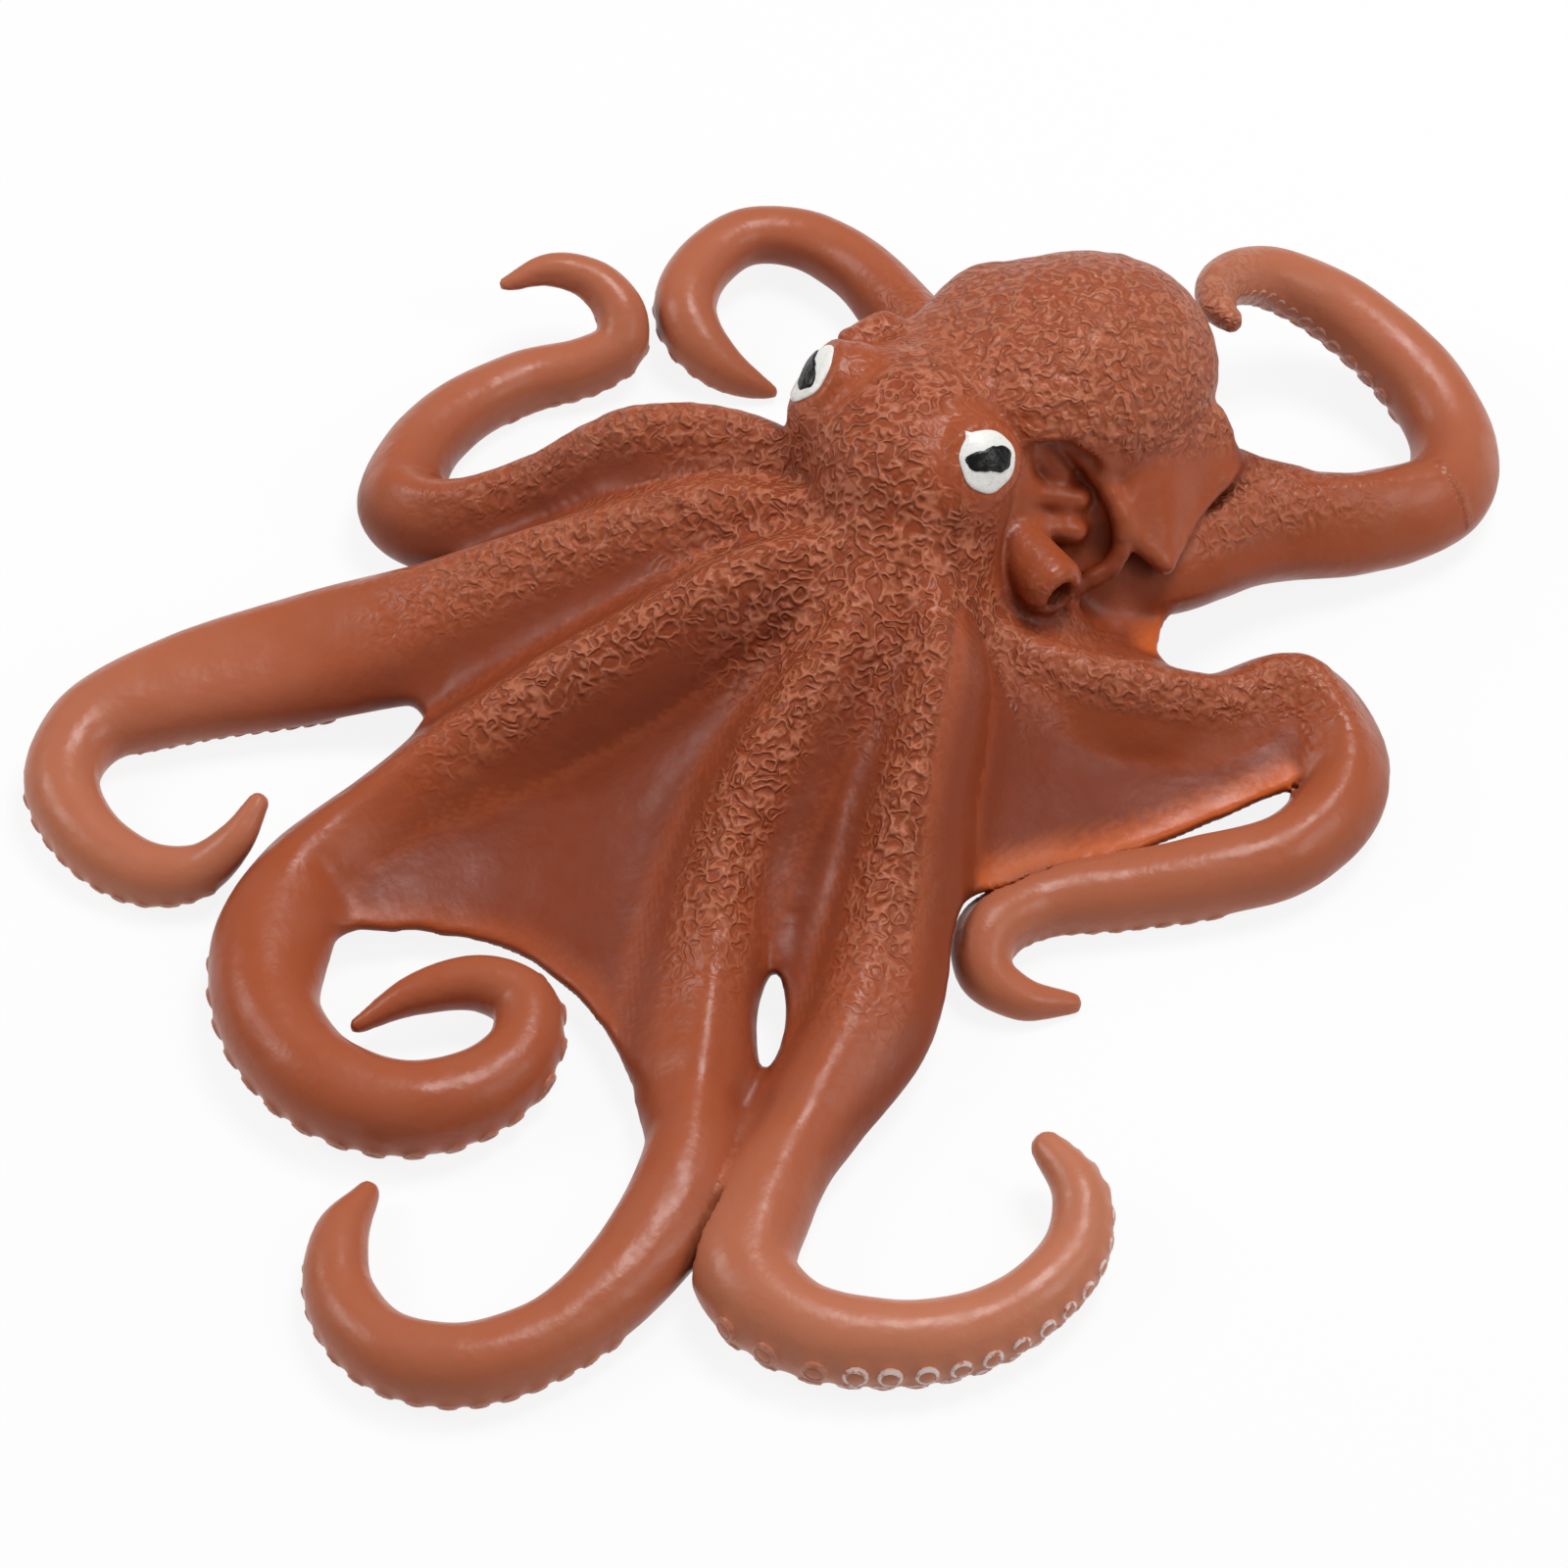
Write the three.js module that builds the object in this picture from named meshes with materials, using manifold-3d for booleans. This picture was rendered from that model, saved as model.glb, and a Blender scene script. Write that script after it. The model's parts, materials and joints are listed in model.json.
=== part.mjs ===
// Toy octopus figure in soft plastic: a head with two raised eyes, a bag-shaped mantle behind it,
// a short siphon, and eight curling arms that grow from a crown and are joined by thin webs.
// Millimetres, +Z up. The figure lies on z = 0 and faces -Y, with the mantle towards +X and +Y.

import * as THREE from 'three';
import { mergeVertices } from 'three/addons/utils/BufferGeometryUtils.js';
import Module from 'manifold-3d';

const wasm = await Module();
wasm.setup();

// Driving dimensions
const SEAM = 0.3; // clearance between neighbouring mouldings
const SOLE_DEPTH = 0.5; // how deep a lying arm is flattened where it rests
const ARM_SIDES = 10; // flats around an arm
const ARM_RINGS = 2; // sections of an arm between two points of its route
const ROUND_STEPS = 18; // flats around a round piece
const BALL_STEPS = 12; // flats around the ball of a flexing arm end
const CROWN_STEPS = 24;
const MANTLE_STEPS = 22;
const TUBE_STEPS = 14; // flats around the siphon

const HEAD_X = 15.5; // middle of the head in plan
const HEAD_Y = 26.6;
const HEAD_LEVEL = 34; // height of the middle of the head
const HEAD_HEADING = 50; // degrees from +X to the direction that runs from the face to the back
const HEAD_WIDTH = 23;
const HEAD_LENGTH = 26;
const HEAD_HEIGHT = 21;

const EYE_BULGE = 12.6; // diameter of the round swelling that carries an eye
const EYE_SPREAD = 18.6; // between the middles of the two swellings
const EYE_RISE = HEAD_HEIGHT / 6; // of the swellings' middles above the middle of the head
const EYE_DIAMETER = 8;
const EYE_THICKNESS = 1.2;
const EYE_PROUD = 0.4; // how far the white stands out of its swelling
const EYE_OUTWARD = 60; // degrees that the gaze turns from straight ahead
const EYE_UPWARD = 35; // degrees that the gaze rises
const PUPIL_LENGTH = 5.6;
const PUPIL_HEIGHT = 3;
const PUPIL_THICKNESS = 0.7;
const PUPIL_PROUD = 0.3;

const MANTLE_LENGTH = 46;
const MANTLE_WIDTH = 34;
const MANTLE_HEIGHT = 32;
const MANTLE_REACH = 23.5; // from the middle of the head to the middle of the mantle, in plan
const MANTLE_HEADING = 36; // degrees from +X
const MANTLE_LEVEL = 29.5; // height of its middle
const MANTLE_EGG = 0.05; // how much fuller its far half is
const FLAP_LENGTH = 20; // free lower edge of the mantle, on its right side
const FLAP_WIDTH = 13;
const FLAP_HEIGHT = 18;
const FLAP_BACK = -1; // from the middle of the mantle towards the head
const FLAP_LEVEL = 22.5; // height of its middle
const POCKET_LENGTH = 17; // mouth of the mantle beside the right eye
const POCKET_DEPTH = 12;
const POCKET_HEIGHT = 20;
const POCKET_BACK = 13; // from the middle of the mantle towards the head
const POCKET_LEVEL = 27; // height of the middle of the mouth

const SIPHON_DIAMETER = 8;
const SIPHON_BORE = 3.4;
const SIPHON_BORE_DEPTH = 2.6;
const SIPHON_LENGTH = 14; // from its rounded root against the body to its mouth
const SIPHON_FLARE = 1.1; // mouth compared with the root
const SIPHON_LIP = 1; // bevel around the mouth
const SIPHON_OUT = 5.3; // how far its mouth stands out beyond the crown's side
const SIPHON_ACROSS = 0.2; // of its mouth beside the crown's axis
const SIPHON_LEVEL = 19.6; // height of its mouth
const SIPHON_HEADING = -21; // degrees from +X
const SIPHON_DIP = 48; // degrees below level

const CROWN_X = 12; // axis of the hub that carries the arms
const CROWN_Y = 14;
const CROWN_DIAMETER = 36;
const CROWN_FLOOR = 9; // height of its underside
const CROWN_TOP = 40;
const CROWN_LEAN = 8; // how far its top leans back under the head
const MOUTH_DIAMETER = 10;
const MOUTH_DEPTH = 4;

const WEB_THICKNESS = 2.4;
const WEB_SAG = 2.2; // how far a web hangs below the line between its two arms
const WEB_HOLE_WIDTH = 3.9; // oval hole in the front web
const WEB_HOLE_LENGTH = 13.5;
const WEB_HOLE_X = -1.7;
const WEB_HOLE_Y = -38;

// Each arm: the points of its route as [x, y, radius, height of its underside], from the crown to
// the tip, and the point where the free end flexes. A fifth number is a skirt: how much wider the arm
// is on its left-hand side, seen along the route, where a web runs out along it.
const ARMS = {
  back: {
    flex: 5,
    route: [
      [14, 27, 5, 12], [21, 44, 5.6, 3], [23.5, 60, 5.7, 1], [20, 69.5, 5.7, 0], [15, 78.3, 5.4, 0],
      [9.9, 85.2, 4.6, 1], [3, 90, 4.1, 2], [-4.6, 90.2, 3.8, 3], [-10.8, 85, 4.1, 3], [-13.4, 77.6, 4.2, 3],
      [-12, 72.7, 3.9, 2], [-7.9, 68.6, 2.9, 1], [-4.2, 66.9, 1.8, 1], [-1.6, 66.2, 0.9, 1],
    ],
  },
  back_left: {
    flex: 6,
    route: [
      [6, 24, 5, 22], [-4.3, 32, 5.8, 22], [-16.7, 35.6, 7, 17], [-30.2, 37, 6.8, 6],
      [-42, 39, 6.4, 1], [-49.9, 43.6, 5.8, 0], [-48.6, 53, 5.1, 0], [-42.8, 60.3, 4.5, 0],
      [-34.4, 66.2, 4.1, 0], [-26.8, 68, 3.9, 1], [-21.9, 70.3, 3.6, 3], [-21.8, 74, 3.3, 6],
      [-25.5, 77.5, 2.7, 9], [-31.3, 78.1, 2.1, 11], [-37.1, 75.5, 0.9, 12],
    ],
  },
  left: {
    flex: 4,
    route: [
      [4, 19, 5, 22], [-7.3, 22.3, 5.5, 20], [-24.6, 22.5, 6.4, 12], [-45.9, 21, 6.8, 3],
      [-62.2, 18.6, 6, 0], [-76.7, 12, 5.5, 0], [-86.4, 5, 5.2, 0], [-89.4, -3, 5, 0],
      [-85.6, -12.1, 4.6, 0], [-78.8, -17.3, 4.2, 0], [-72.5, -17.9, 3.2, 2], [-68.3, -16, 2.2, 6],
      [-65.4, -12.8, 1.2, 9],
    ],
  },
  left_coil: {
    flex: 6,
    route: [
      [6, 12, 5, 23], [-2.4, 10, 5.6, 22], [-19.4, 4.6, 7, 12], [-36.4, -2, 7, 4], [-49.8, -10.2, 6.2, 1],
      [-59.6, -18.8, 5.8, 0], [-64.2, -29, 5.4, 0], [-62.3, -40.9, 5.4, 0], [-54.9, -50.5, 5.7, 0],
      [-44.7, -54.7, 5.7, 0], [-34.7, -52.4, 5.3, 0], [-29.6, -46, 4.5, 1], [-30.2, -38.8, 3.8, 2],
      [-36.3, -36, 3.1, 3], [-44.3, -38.2, 2.1, 4], [-51.2, -41.6, 0.8, 4],
    ],
  },
  front_left: {
    flex: 6,
    route: [
      [11, 9, 5, 22], [8.4, 2.5, 5.5, 20], [-0.6, -9.5, 6.5, 11], [-6.5, -21.3, 6.2, 5], [-8.5, -36.2, 5.4, 2],
      [-10.2, -50.6, 5.2, 0], [-13.2, -63.4, 5.3, 0], [-19.3, -75.8, 5.1, 0], [-27, -85.2, 5, 0],
      [-37, -89.4, 5, 0], [-46.3, -86.9, 4.7, 0], [-51.7, -78.9, 4.3, 0], [-51.9, -71.1, 3.4, 1],
      [-49, -64.2, 1.4, 2],
    ],
  },
  front_right: {
    flex: 6,
    route: [
      [17, 8, 5, 22], [18.8, -2.2, 5.5, 20], [16, -14.7, 6.2, 12], [12.4, -27.1, 5.9, 5, 3],
      [8.6, -42.3, 5.6, 2, 5.5], [3.8, -55.2, 5.6, 0, 2.6], [-1.1, -67.8, 5.6, 0], [-2.9, -77.3, 5.7, 0],
      [2, -84.3, 5.2, 0], [11.4, -86.7, 4.6, 0], [20.9, -85.1, 4.4, 0], [29.2, -80.4, 4.2, 1],
      [34.9, -73.2, 3.9, 2], [35.8, -66.9, 3.2, 4], [31.9, -61.2, 1.6, 6],
    ],
  },
  right_fold: {
    flex: 7,
    route: [
      [20, 9, 5, 14], [31.6, 5.2, 5.6, 10], [42.7, 3.5, 6.2, 6], [54, 4.4, 5.8, 2], [63.8, 8, 6, 1],
      [69.6, 1, 5.6, 0], [69, -7.3, 5.6, 0], [62.5, -15, 5.4, 0], [51.7, -18.6, 5.2, 0],
      [40.8, -20.5, 4.7, 0], [31.1, -22.8, 4.1, 1], [25, -27.6, 3.8, 2], [24.5, -31.9, 3.2, 1],
      [28.5, -34.5, 2.3, 0], [34.5, -34.2, 1, 0],
    ],
  },
  back_right: {
    flex: 6,
    route: [
      [22, 17, 5, 13], [35.8, 21.3, 5.7, 9], [48.4, 26, 6.9, 6], [60.2, 34, 7.2, 3], [76.1, 39.2, 6.7, 0],
      [85.7, 44.2, 6.2, 0], [88.4, 52.3, 5.9, 0], [85.2, 61.6, 5.7, 2], [79.1, 68.3, 5.4, 5],
      [71.4, 72.8, 4.8, 9], [63.2, 72.5, 4, 14], [57.4, 66.6, 3.1, 19], [56.4, 60.4, 2.3, 22],
      [58, 56.4, 1.4, 24],
    ],
  },
};

// Each web: the two arms that it joins, how far along each route it runs, and how far its edge bows in.
const WEBS = {
  back_left: { arms: ['back', 'back_left'], ends: [1.6, 2.2], bow: 0.3 },
  left_back: { arms: ['back_left', 'left'], ends: [3.2, 2.8], bow: 0.2 },
  left: { arms: ['left', 'left_coil'], ends: [3.3, 3.6], bow: 0.12 },
  front_left: { arms: ['left_coil', 'front_left'], ends: [5.7, 5.6], bow: 0.22 },
  front: { arms: ['front_left', 'front_right'], ends: [5.5, 5.5], bow: 0.04 },
  front_right: { arms: ['front_right', 'right_fold'], ends: [2.9, 5.3], bow: 0 },
  right: { arms: ['right_fold', 'back_right'], ends: [2.7, 2.6], bow: 0.2 },
  back_right: { arms: ['back_right', 'back'], ends: [2.4, 1.7], bow: 0.3 },
};

const SKIN = new THREE.MeshStandardMaterial({ color: 0xa4583c, roughness: 0.45, metalness: 0 });
const WHITE_PAINT = new THREE.MeshStandardMaterial({ color: 0xf2f0ea, roughness: 0.35, metalness: 0 });
const BLACK_PAINT = new THREE.MeshStandardMaterial({ color: 0x141210, roughness: 0.3, metalness: 0 });

const UP = new THREE.Vector3(0, 0, 1);
const ROUND_SHARE = 0.6; // rows of a ball compared with its flats
const radians = THREE.MathUtils.degToRad;

// Closed solids for cutting and joining, and back to meshes
function solidOf(geometry) {
  const bare = geometry.index ? geometry.clone() : geometry;
  bare.deleteAttribute('normal');
  bare.deleteAttribute('uv');
  const merged = mergeVertices(bare, 1e-4);
  return new wasm.Manifold(new wasm.Mesh({
    numProp: 3,
    vertProperties: new Float32Array(merged.attributes.position.array),
    triVerts: new Uint32Array(merged.index.array),
  }));
}

function meshOf(name, solid, material) {
  const { vertProperties, triVerts } = solid.getMesh();
  const geometry = new THREE.BufferGeometry();
  geometry.setAttribute('position', new THREE.BufferAttribute(vertProperties, 3));
  geometry.setIndex(new THREE.BufferAttribute(triVerts, 1));
  geometry.computeVertexNormals();
  const mesh = new THREE.Mesh(geometry, material);
  mesh.name = name;
  return mesh;
}

function cutBy(solid, others) {
  return others.reduce((left, other) => left.subtract(other), solid);
}

// A ball that is stretched to three diameters, turned in plan and moved to its place
function ellipsoid(length, width, height, heading, place, steps = ROUND_STEPS) {
  const geometry = new THREE.SphereGeometry(0.5, steps, Math.round(steps * ROUND_SHARE));
  geometry.scale(length, height, width);
  geometry.rotateX(Math.PI / 2);
  geometry.rotateZ(radians(heading));
  geometry.translate(place.x, place.y, place.z);
  return solidOf(geometry);
}

// A closed skin over a list of rings with equal even counts of points, capped at both ends by a strip
// between the two halves of the ring
function skinOver(rings) {
  const count = rings[0].length;
  const points = rings.flat();
  const faces = [];
  for (let ring = 0; ring + 1 < rings.length; ring += 1) {
    for (let side = 0; side < count; side += 1) {
      const here = ring * count + side;
      const next = ring * count + ((side + 1) % count);
      faces.push(here, next, next + count, here, next + count, here + count);
    }
  }
  const last = (rings.length - 1) * count;
  for (let near = 0; near + 1 < count / 2; near += 1) {
    const far = count - 1 - near;
    faces.push(near, far - 1, near + 1, near, far, far - 1);
    faces.push(last + near, last + near + 1, last + far - 1, last + near, last + far - 1, last + far);
  }
  const geometry = new THREE.BufferGeometry();
  geometry.setAttribute('position', new THREE.Float32BufferAttribute(points.flatMap((p) => p.toArray()), 3));
  geometry.setIndex(faces);
  return solidOf(geometry);
}

// Everything below the table top, which flattens what rests on it
const TABLE_SIZE = 400;
const tableGeometry = new THREE.BoxGeometry(TABLE_SIZE, TABLE_SIZE, TABLE_SIZE);
tableGeometry.translate(0, 0, -TABLE_SIZE / 2);
const table = solidOf(tableGeometry);

// Arms
function armCentre([x, y, radius, lift]) {
  return new THREE.Vector3(x, y, radius + lift - SOLE_DEPTH);
}

for (const arm of Object.values(ARMS)) {
  arm.last = arm.route.length - 1;
  arm.curve = new THREE.CatmullRomCurve3(arm.route.map(armCentre));
}

function armPoint(arm, index) {
  return arm.curve.getPoint(index / arm.last);
}

function armValue(arm, index, column) {
  const low = Math.min(Math.floor(index), arm.last - 1);
  const values = [arm.route[low], arm.route[low + 1]].map((point) => point[column] ?? 0);
  return THREE.MathUtils.lerp(...values, index - low);
}

function armRadius(arm, index) {
  return armValue(arm, index, 2);
}

function armSkirt(arm, index) {
  return armValue(arm, index, 4);
}

function armRing(arm, index, grow) {
  const centre = armPoint(arm, index);
  const along = arm.curve.getTangent(index / arm.last);
  const side = new THREE.Vector3().crossVectors(UP, along).normalize();
  const above = new THREE.Vector3().crossVectors(along, side);
  const radius = armRadius(arm, index) + grow;
  const skirt = armSkirt(arm, index);
  return Array.from({ length: ARM_SIDES }, (_, flat) => {
    const angle = (2 * Math.PI * (flat + 0.5)) / ARM_SIDES;
    const wide = radius + (Math.cos(angle) > 0 ? skirt : 0);
    return centre.clone()
      .addScaledVector(side, wide * Math.cos(angle))
      .addScaledVector(above, radius * Math.sin(angle));
  });
}

function armTube(arm, from, to, grow = 0) {
  const steps = Math.round((to - from) * ARM_RINGS);
  const rings = [];
  for (let step = 0; step <= steps; step += 1) {
    rings.push(armRing(arm, from + ((to - from) * step) / steps, grow));
  }
  return skinOver(rings);
}

function armBall(arm, grow = 0) {
  const diameter = 2 * (armRadius(arm, arm.flex) + grow);
  return ellipsoid(diameter, diameter, diameter, 0, armPoint(arm, arm.flex), BALL_STEPS);
}

// Head, with its eye swellings
const headPlace = new THREE.Vector3(HEAD_X, HEAD_Y, HEAD_LEVEL);
const headBack = new THREE.Vector3(1, 0, 0).applyAxisAngle(UP, radians(HEAD_HEADING));
const headRight = new THREE.Vector3().crossVectors(headBack, UP);
const EYE_SIDES = { left: -1, right: 1 };

function eyePlace(side) {
  return headPlace.clone().addScaledVector(headRight, (side * EYE_SPREAD) / 2).addScaledVector(UP, EYE_RISE);
}

function headSolid(grow) {
  const [length, width, height, bulge] = [HEAD_LENGTH, HEAD_WIDTH, HEAD_HEIGHT, EYE_BULGE]
    .map((size) => size + 2 * grow);
  const skull = ellipsoid(length, width, height, HEAD_HEADING, headPlace);
  return Object.values(EYE_SIDES).reduce(
    (head, side) => head.add(ellipsoid(bulge, bulge, bulge, HEAD_HEADING, eyePlace(side))),
    skull,
  );
}

// Eyes, built looking along +Z and then turned to their gaze
function lookOutward(geometry, side) {
  geometry.rotateY(radians(90 - EYE_UPWARD));
  geometry.rotateZ(radians(HEAD_HEADING + 180 + side * EYE_OUTWARD));
  const place = eyePlace(side);
  geometry.translate(place.x, place.y, place.z);
  return solidOf(geometry);
}

const EYE_OUTER = EYE_BULGE / 2 + EYE_PROUD;
const EYE_INNER = EYE_OUTER - EYE_THICKNESS;
const EYE_ARC_STEPS = 3;
const PUPIL_STEPS = 6; // flats around each round end of a pupil

function eyeCap(side, grow) {
  const outer = EYE_OUTER + grow;
  const inner = EYE_INNER - grow;
  const spread = Math.asin((EYE_DIAMETER / 2 + grow) / (EYE_BULGE / 2));
  const profile = [];
  for (let step = 0; step <= EYE_ARC_STEPS; step += 1) {
    const angle = (spread * step) / EYE_ARC_STEPS;
    profile.push(new THREE.Vector2(inner * Math.sin(angle), inner * Math.cos(angle)));
  }
  for (let step = EYE_ARC_STEPS; step >= 0; step -= 1) {
    const angle = (spread * step) / EYE_ARC_STEPS;
    profile.push(new THREE.Vector2(outer * Math.sin(angle), outer * Math.cos(angle)));
  }
  const geometry = new THREE.LatheGeometry(profile, ROUND_STEPS);
  geometry.rotateX(Math.PI / 2);
  return lookOutward(geometry, side);
}

function pupilBar(side, grow) {
  const half = PUPIL_HEIGHT / 2 + grow;
  const reach = PUPIL_LENGTH / 2 - PUPIL_HEIGHT / 2;
  const outline = new THREE.Shape();
  outline.absarc(reach, 0, half, -Math.PI / 2, Math.PI / 2);
  outline.absarc(-reach, 0, half, Math.PI / 2, 1.5 * Math.PI);
  const options = { depth: 2 * EYE_BULGE, bevelEnabled: false, curveSegments: PUPIL_STEPS };
  const geometry = new THREE.ExtrudeGeometry(outline, options);
  geometry.rotateZ(Math.PI / 2);
  return lookOutward(geometry, side);
}

function eyeBall(side, radius) {
  return ellipsoid(2 * radius, 2 * radius, 2 * radius, 0, eyePlace(side));
}

const PUPIL_OUTER = EYE_OUTER + PUPIL_PROUD;
const PUPIL_INNER = PUPIL_OUTER - PUPIL_THICKNESS;

function pupilSolid(side) {
  return pupilBar(side, 0).intersect(eyeBall(side, PUPIL_OUTER)).subtract(eyeBall(side, PUPIL_INNER));
}

function eyeWhite(side) {
  const recess = pupilBar(side, SEAM).subtract(eyeBall(side, PUPIL_INNER - SEAM));
  return eyeCap(side, 0).subtract(recess);
}

// Crown, a hub that leans back under the head, with the mouth in its underside. Its outline is given in
// shares of its radius and its height.
const CROWN_OUTLINE = [
  [0, 0], [0.62, 0], [0.86, 0.1], [0.98, 0.24], [1, 0.36], [0.92, 0.54], [0.76, 0.72], [0.5, 0.89], [0, 1],
];

function crownSolid(grow) {
  const radius = CROWN_DIAMETER / 2 + grow;
  const floor = CROWN_FLOOR - grow;
  const height = CROWN_TOP + grow - floor;
  const profile = CROWN_OUTLINE.map(([out, rise]) => new THREE.Vector2(out * radius, rise * height));
  const geometry = new THREE.LatheGeometry(profile, CROWN_STEPS);
  geometry.rotateX(Math.PI / 2);
  const position = geometry.attributes.position;
  for (let at = 0; at < position.count; at += 1) {
    const lean = (CROWN_LEAN * position.getZ(at)) / height;
    position.setX(at, position.getX(at) + CROWN_X + lean * headBack.x);
    position.setY(at, position.getY(at) + CROWN_Y + lean * headBack.y);
    position.setZ(at, position.getZ(at) + floor);
  }
  return solidOf(geometry);
}

function mouthSolid() {
  const place = new THREE.Vector3(CROWN_X, CROWN_Y, CROWN_FLOOR);
  return ellipsoid(MOUTH_DIAMETER, MOUTH_DIAMETER, 2 * MOUTH_DEPTH, 0, place);
}

// Mantle, an egg that is fuller at its far end
const mantlePlace = new THREE.Vector3(MANTLE_REACH, 0, MANTLE_LEVEL - HEAD_LEVEL)
  .applyAxisAngle(UP, radians(MANTLE_HEADING))
  .add(headPlace);

function besideMantle(back, level) {
  return new THREE.Vector3(-back, -MANTLE_WIDTH / 2, level - MANTLE_LEVEL)
    .applyAxisAngle(UP, radians(MANTLE_HEADING))
    .add(mantlePlace);
}

function mantleSolid(grow) {
  const geometry = new THREE.SphereGeometry(0.5, MANTLE_STEPS, Math.round(MANTLE_STEPS * ROUND_SHARE));
  geometry.rotateZ(-Math.PI / 2);
  const position = geometry.attributes.position;
  for (let at = 0; at < position.count; at += 1) {
    const fuller = 1 + 2 * MANTLE_EGG * position.getX(at);
    position.setX(at, position.getX(at) * (MANTLE_LENGTH + 2 * grow));
    position.setY(at, position.getY(at) * (MANTLE_WIDTH + 2 * grow) * fuller);
    position.setZ(at, position.getZ(at) * (MANTLE_HEIGHT + 2 * grow) * fuller);
  }
  geometry.rotateZ(radians(MANTLE_HEADING));
  geometry.translate(mantlePlace.x, mantlePlace.y, mantlePlace.z);
  const [length, width, height] = [FLAP_LENGTH, FLAP_WIDTH, FLAP_HEIGHT].map((size) => size + 2 * grow);
  const place = besideMantle(FLAP_BACK, FLAP_LEVEL);
  return solidOf(geometry).add(ellipsoid(length, width, height, MANTLE_HEADING, place));
}

function pocketSolid() {
  const place = besideMantle(POCKET_BACK, POCKET_LEVEL);
  return ellipsoid(POCKET_LENGTH, 2 * POCKET_DEPTH, POCKET_HEIGHT, MANTLE_HEADING, place);
}

// Siphon, a tube with a rounded root, laid back from its open mouth against the body
function siphonSolid(grow) {
  const root = SIPHON_DIAMETER / 2 + grow;
  const rim = root * SIPHON_FLARE;
  const bore = SIPHON_BORE / 2 - grow;
  const profile = [
    [0, -SIPHON_LENGTH - grow], [root * 0.7, root * 0.3 - SIPHON_LENGTH], [root, root - SIPHON_LENGTH],
    [rim, -SIPHON_BORE_DEPTH], [rim, grow - SIPHON_LIP], [rim - SIPHON_LIP, grow],
    [bore, grow], [bore, -SIPHON_BORE_DEPTH], [0, -SIPHON_BORE_DEPTH],
  ].map(([out, along]) => new THREE.Vector2(out, along));
  const geometry = new THREE.LatheGeometry(profile, TUBE_STEPS);
  geometry.rotateZ(-Math.PI / 2);
  geometry.rotateY(radians(SIPHON_DIP));
  geometry.rotateZ(radians(SIPHON_HEADING));
  geometry.translate(CROWN_X + CROWN_DIAMETER / 2 + SIPHON_OUT, CROWN_Y + SIPHON_ACROSS, SIPHON_LEVEL);
  return solidOf(geometry);
}

// Webs, thin sheets between the middles of two arms
const WEB_ALONG = 7;
const WEB_ACROSS = 4;

function webSheet({ arms, ends, bow }) {
  const [first, second] = arms.map((name) => ARMS[name]);
  const rings = [];
  for (let across = 0; across <= WEB_ACROSS; across += 1) {
    const share = across / WEB_ACROSS;
    const middle = Math.sin(Math.PI * share);
    const upper = [];
    const lower = [];
    for (let along = 0; along <= WEB_ALONG; along += 1) {
      const reach = (along / WEB_ALONG) * (1 - bow * middle);
      const point = armPoint(first, ends[0] * reach).lerp(armPoint(second, ends[1] * reach), share);
      point.z -= WEB_SAG * middle * reach;
      upper.push(point.clone().addScaledVector(UP, WEB_THICKNESS / 2));
      lower.unshift(point.clone().addScaledVector(UP, -WEB_THICKNESS / 2));
    }
    rings.push([...upper, ...lower]);
  }
  return skinOver(rings);
}

function webHole() {
  const geometry = new THREE.CylinderGeometry(0.5, 0.5, TABLE_SIZE, ROUND_STEPS);
  geometry.rotateX(Math.PI / 2);
  geometry.scale(WEB_HOLE_WIDTH, WEB_HOLE_LENGTH, 1);
  geometry.translate(WEB_HOLE_X, WEB_HOLE_Y, 0);
  return solidOf(geometry);
}

// The assembly
const figure = new THREE.Group();
const headRoom = headSolid(SEAM);
const crownRoom = crownSolid(SEAM);
const mantleRoom = mantleSolid(SEAM);
const siphonRoom = siphonSolid(SEAM);
const bodyRooms = [headRoom, crownRoom, mantleRoom, siphonRoom];

const sockets = Object.values(EYE_SIDES).map((side) => eyeCap(side, SEAM));
figure.add(meshOf('head', cutBy(headSolid(0), sockets), SKIN));
for (const [name, side] of Object.entries(EYE_SIDES)) {
  figure.add(meshOf(`eye_white_${name}`, eyeWhite(side), WHITE_PAINT));
  figure.add(meshOf(`pupil_${name}`, pupilSolid(side), BLACK_PAINT));
}
figure.add(meshOf('crown', cutBy(crownSolid(0), [headRoom, mouthSolid()]), SKIN));
figure.add(meshOf('mantle', cutBy(mantleSolid(0), [headRoom, crownRoom, pocketSolid()]), SKIN));
figure.add(meshOf('siphon', cutBy(siphonSolid(0), [headRoom, crownRoom, mantleRoom]), SKIN));

const armRooms = [];
for (const [name, arm] of Object.entries(ARMS)) {
  const rooms = [...bodyRooms, ...armRooms, armBall(arm, SEAM), table];
  const base = cutBy(armTube(arm, 0, arm.flex), rooms);
  const end = armTube(arm, arm.flex, arm.last).add(armBall(arm));
  figure.add(meshOf(`arm_${name}_base`, base, SKIN));
  figure.add(meshOf(`arm_${name}_end`, cutBy(end, [table]), SKIN));
  armRooms.push(armTube(arm, 0, arm.flex, SEAM));
}

for (const [name, web] of Object.entries(WEBS)) {
  const sheet = cutBy(webSheet(web), [...bodyRooms, ...armRooms]);
  const panel = name === 'front' ? sheet.subtract(webHole()) : sheet;
  figure.add(meshOf(`web_${name}`, panel, SKIN));
}

export default figure;
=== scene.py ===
# %% [markdown]
# # A toy octopus in soft plastic
#
# The real figure is one soft moulding: a head with two painted eyes, a bag-shaped mantle, a siphon,
# and eight curling arms with thin webs between them. This lesson builds its skin as the toy's sculptor
# would, out of soft clay: rough shapes are pressed together in a grid of distances, the joins are
# smoothed over by the way they are added, and one surface is drawn over the result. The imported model
# gives the bodies that the skin moves with, and nothing is read from anywhere else.

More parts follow.
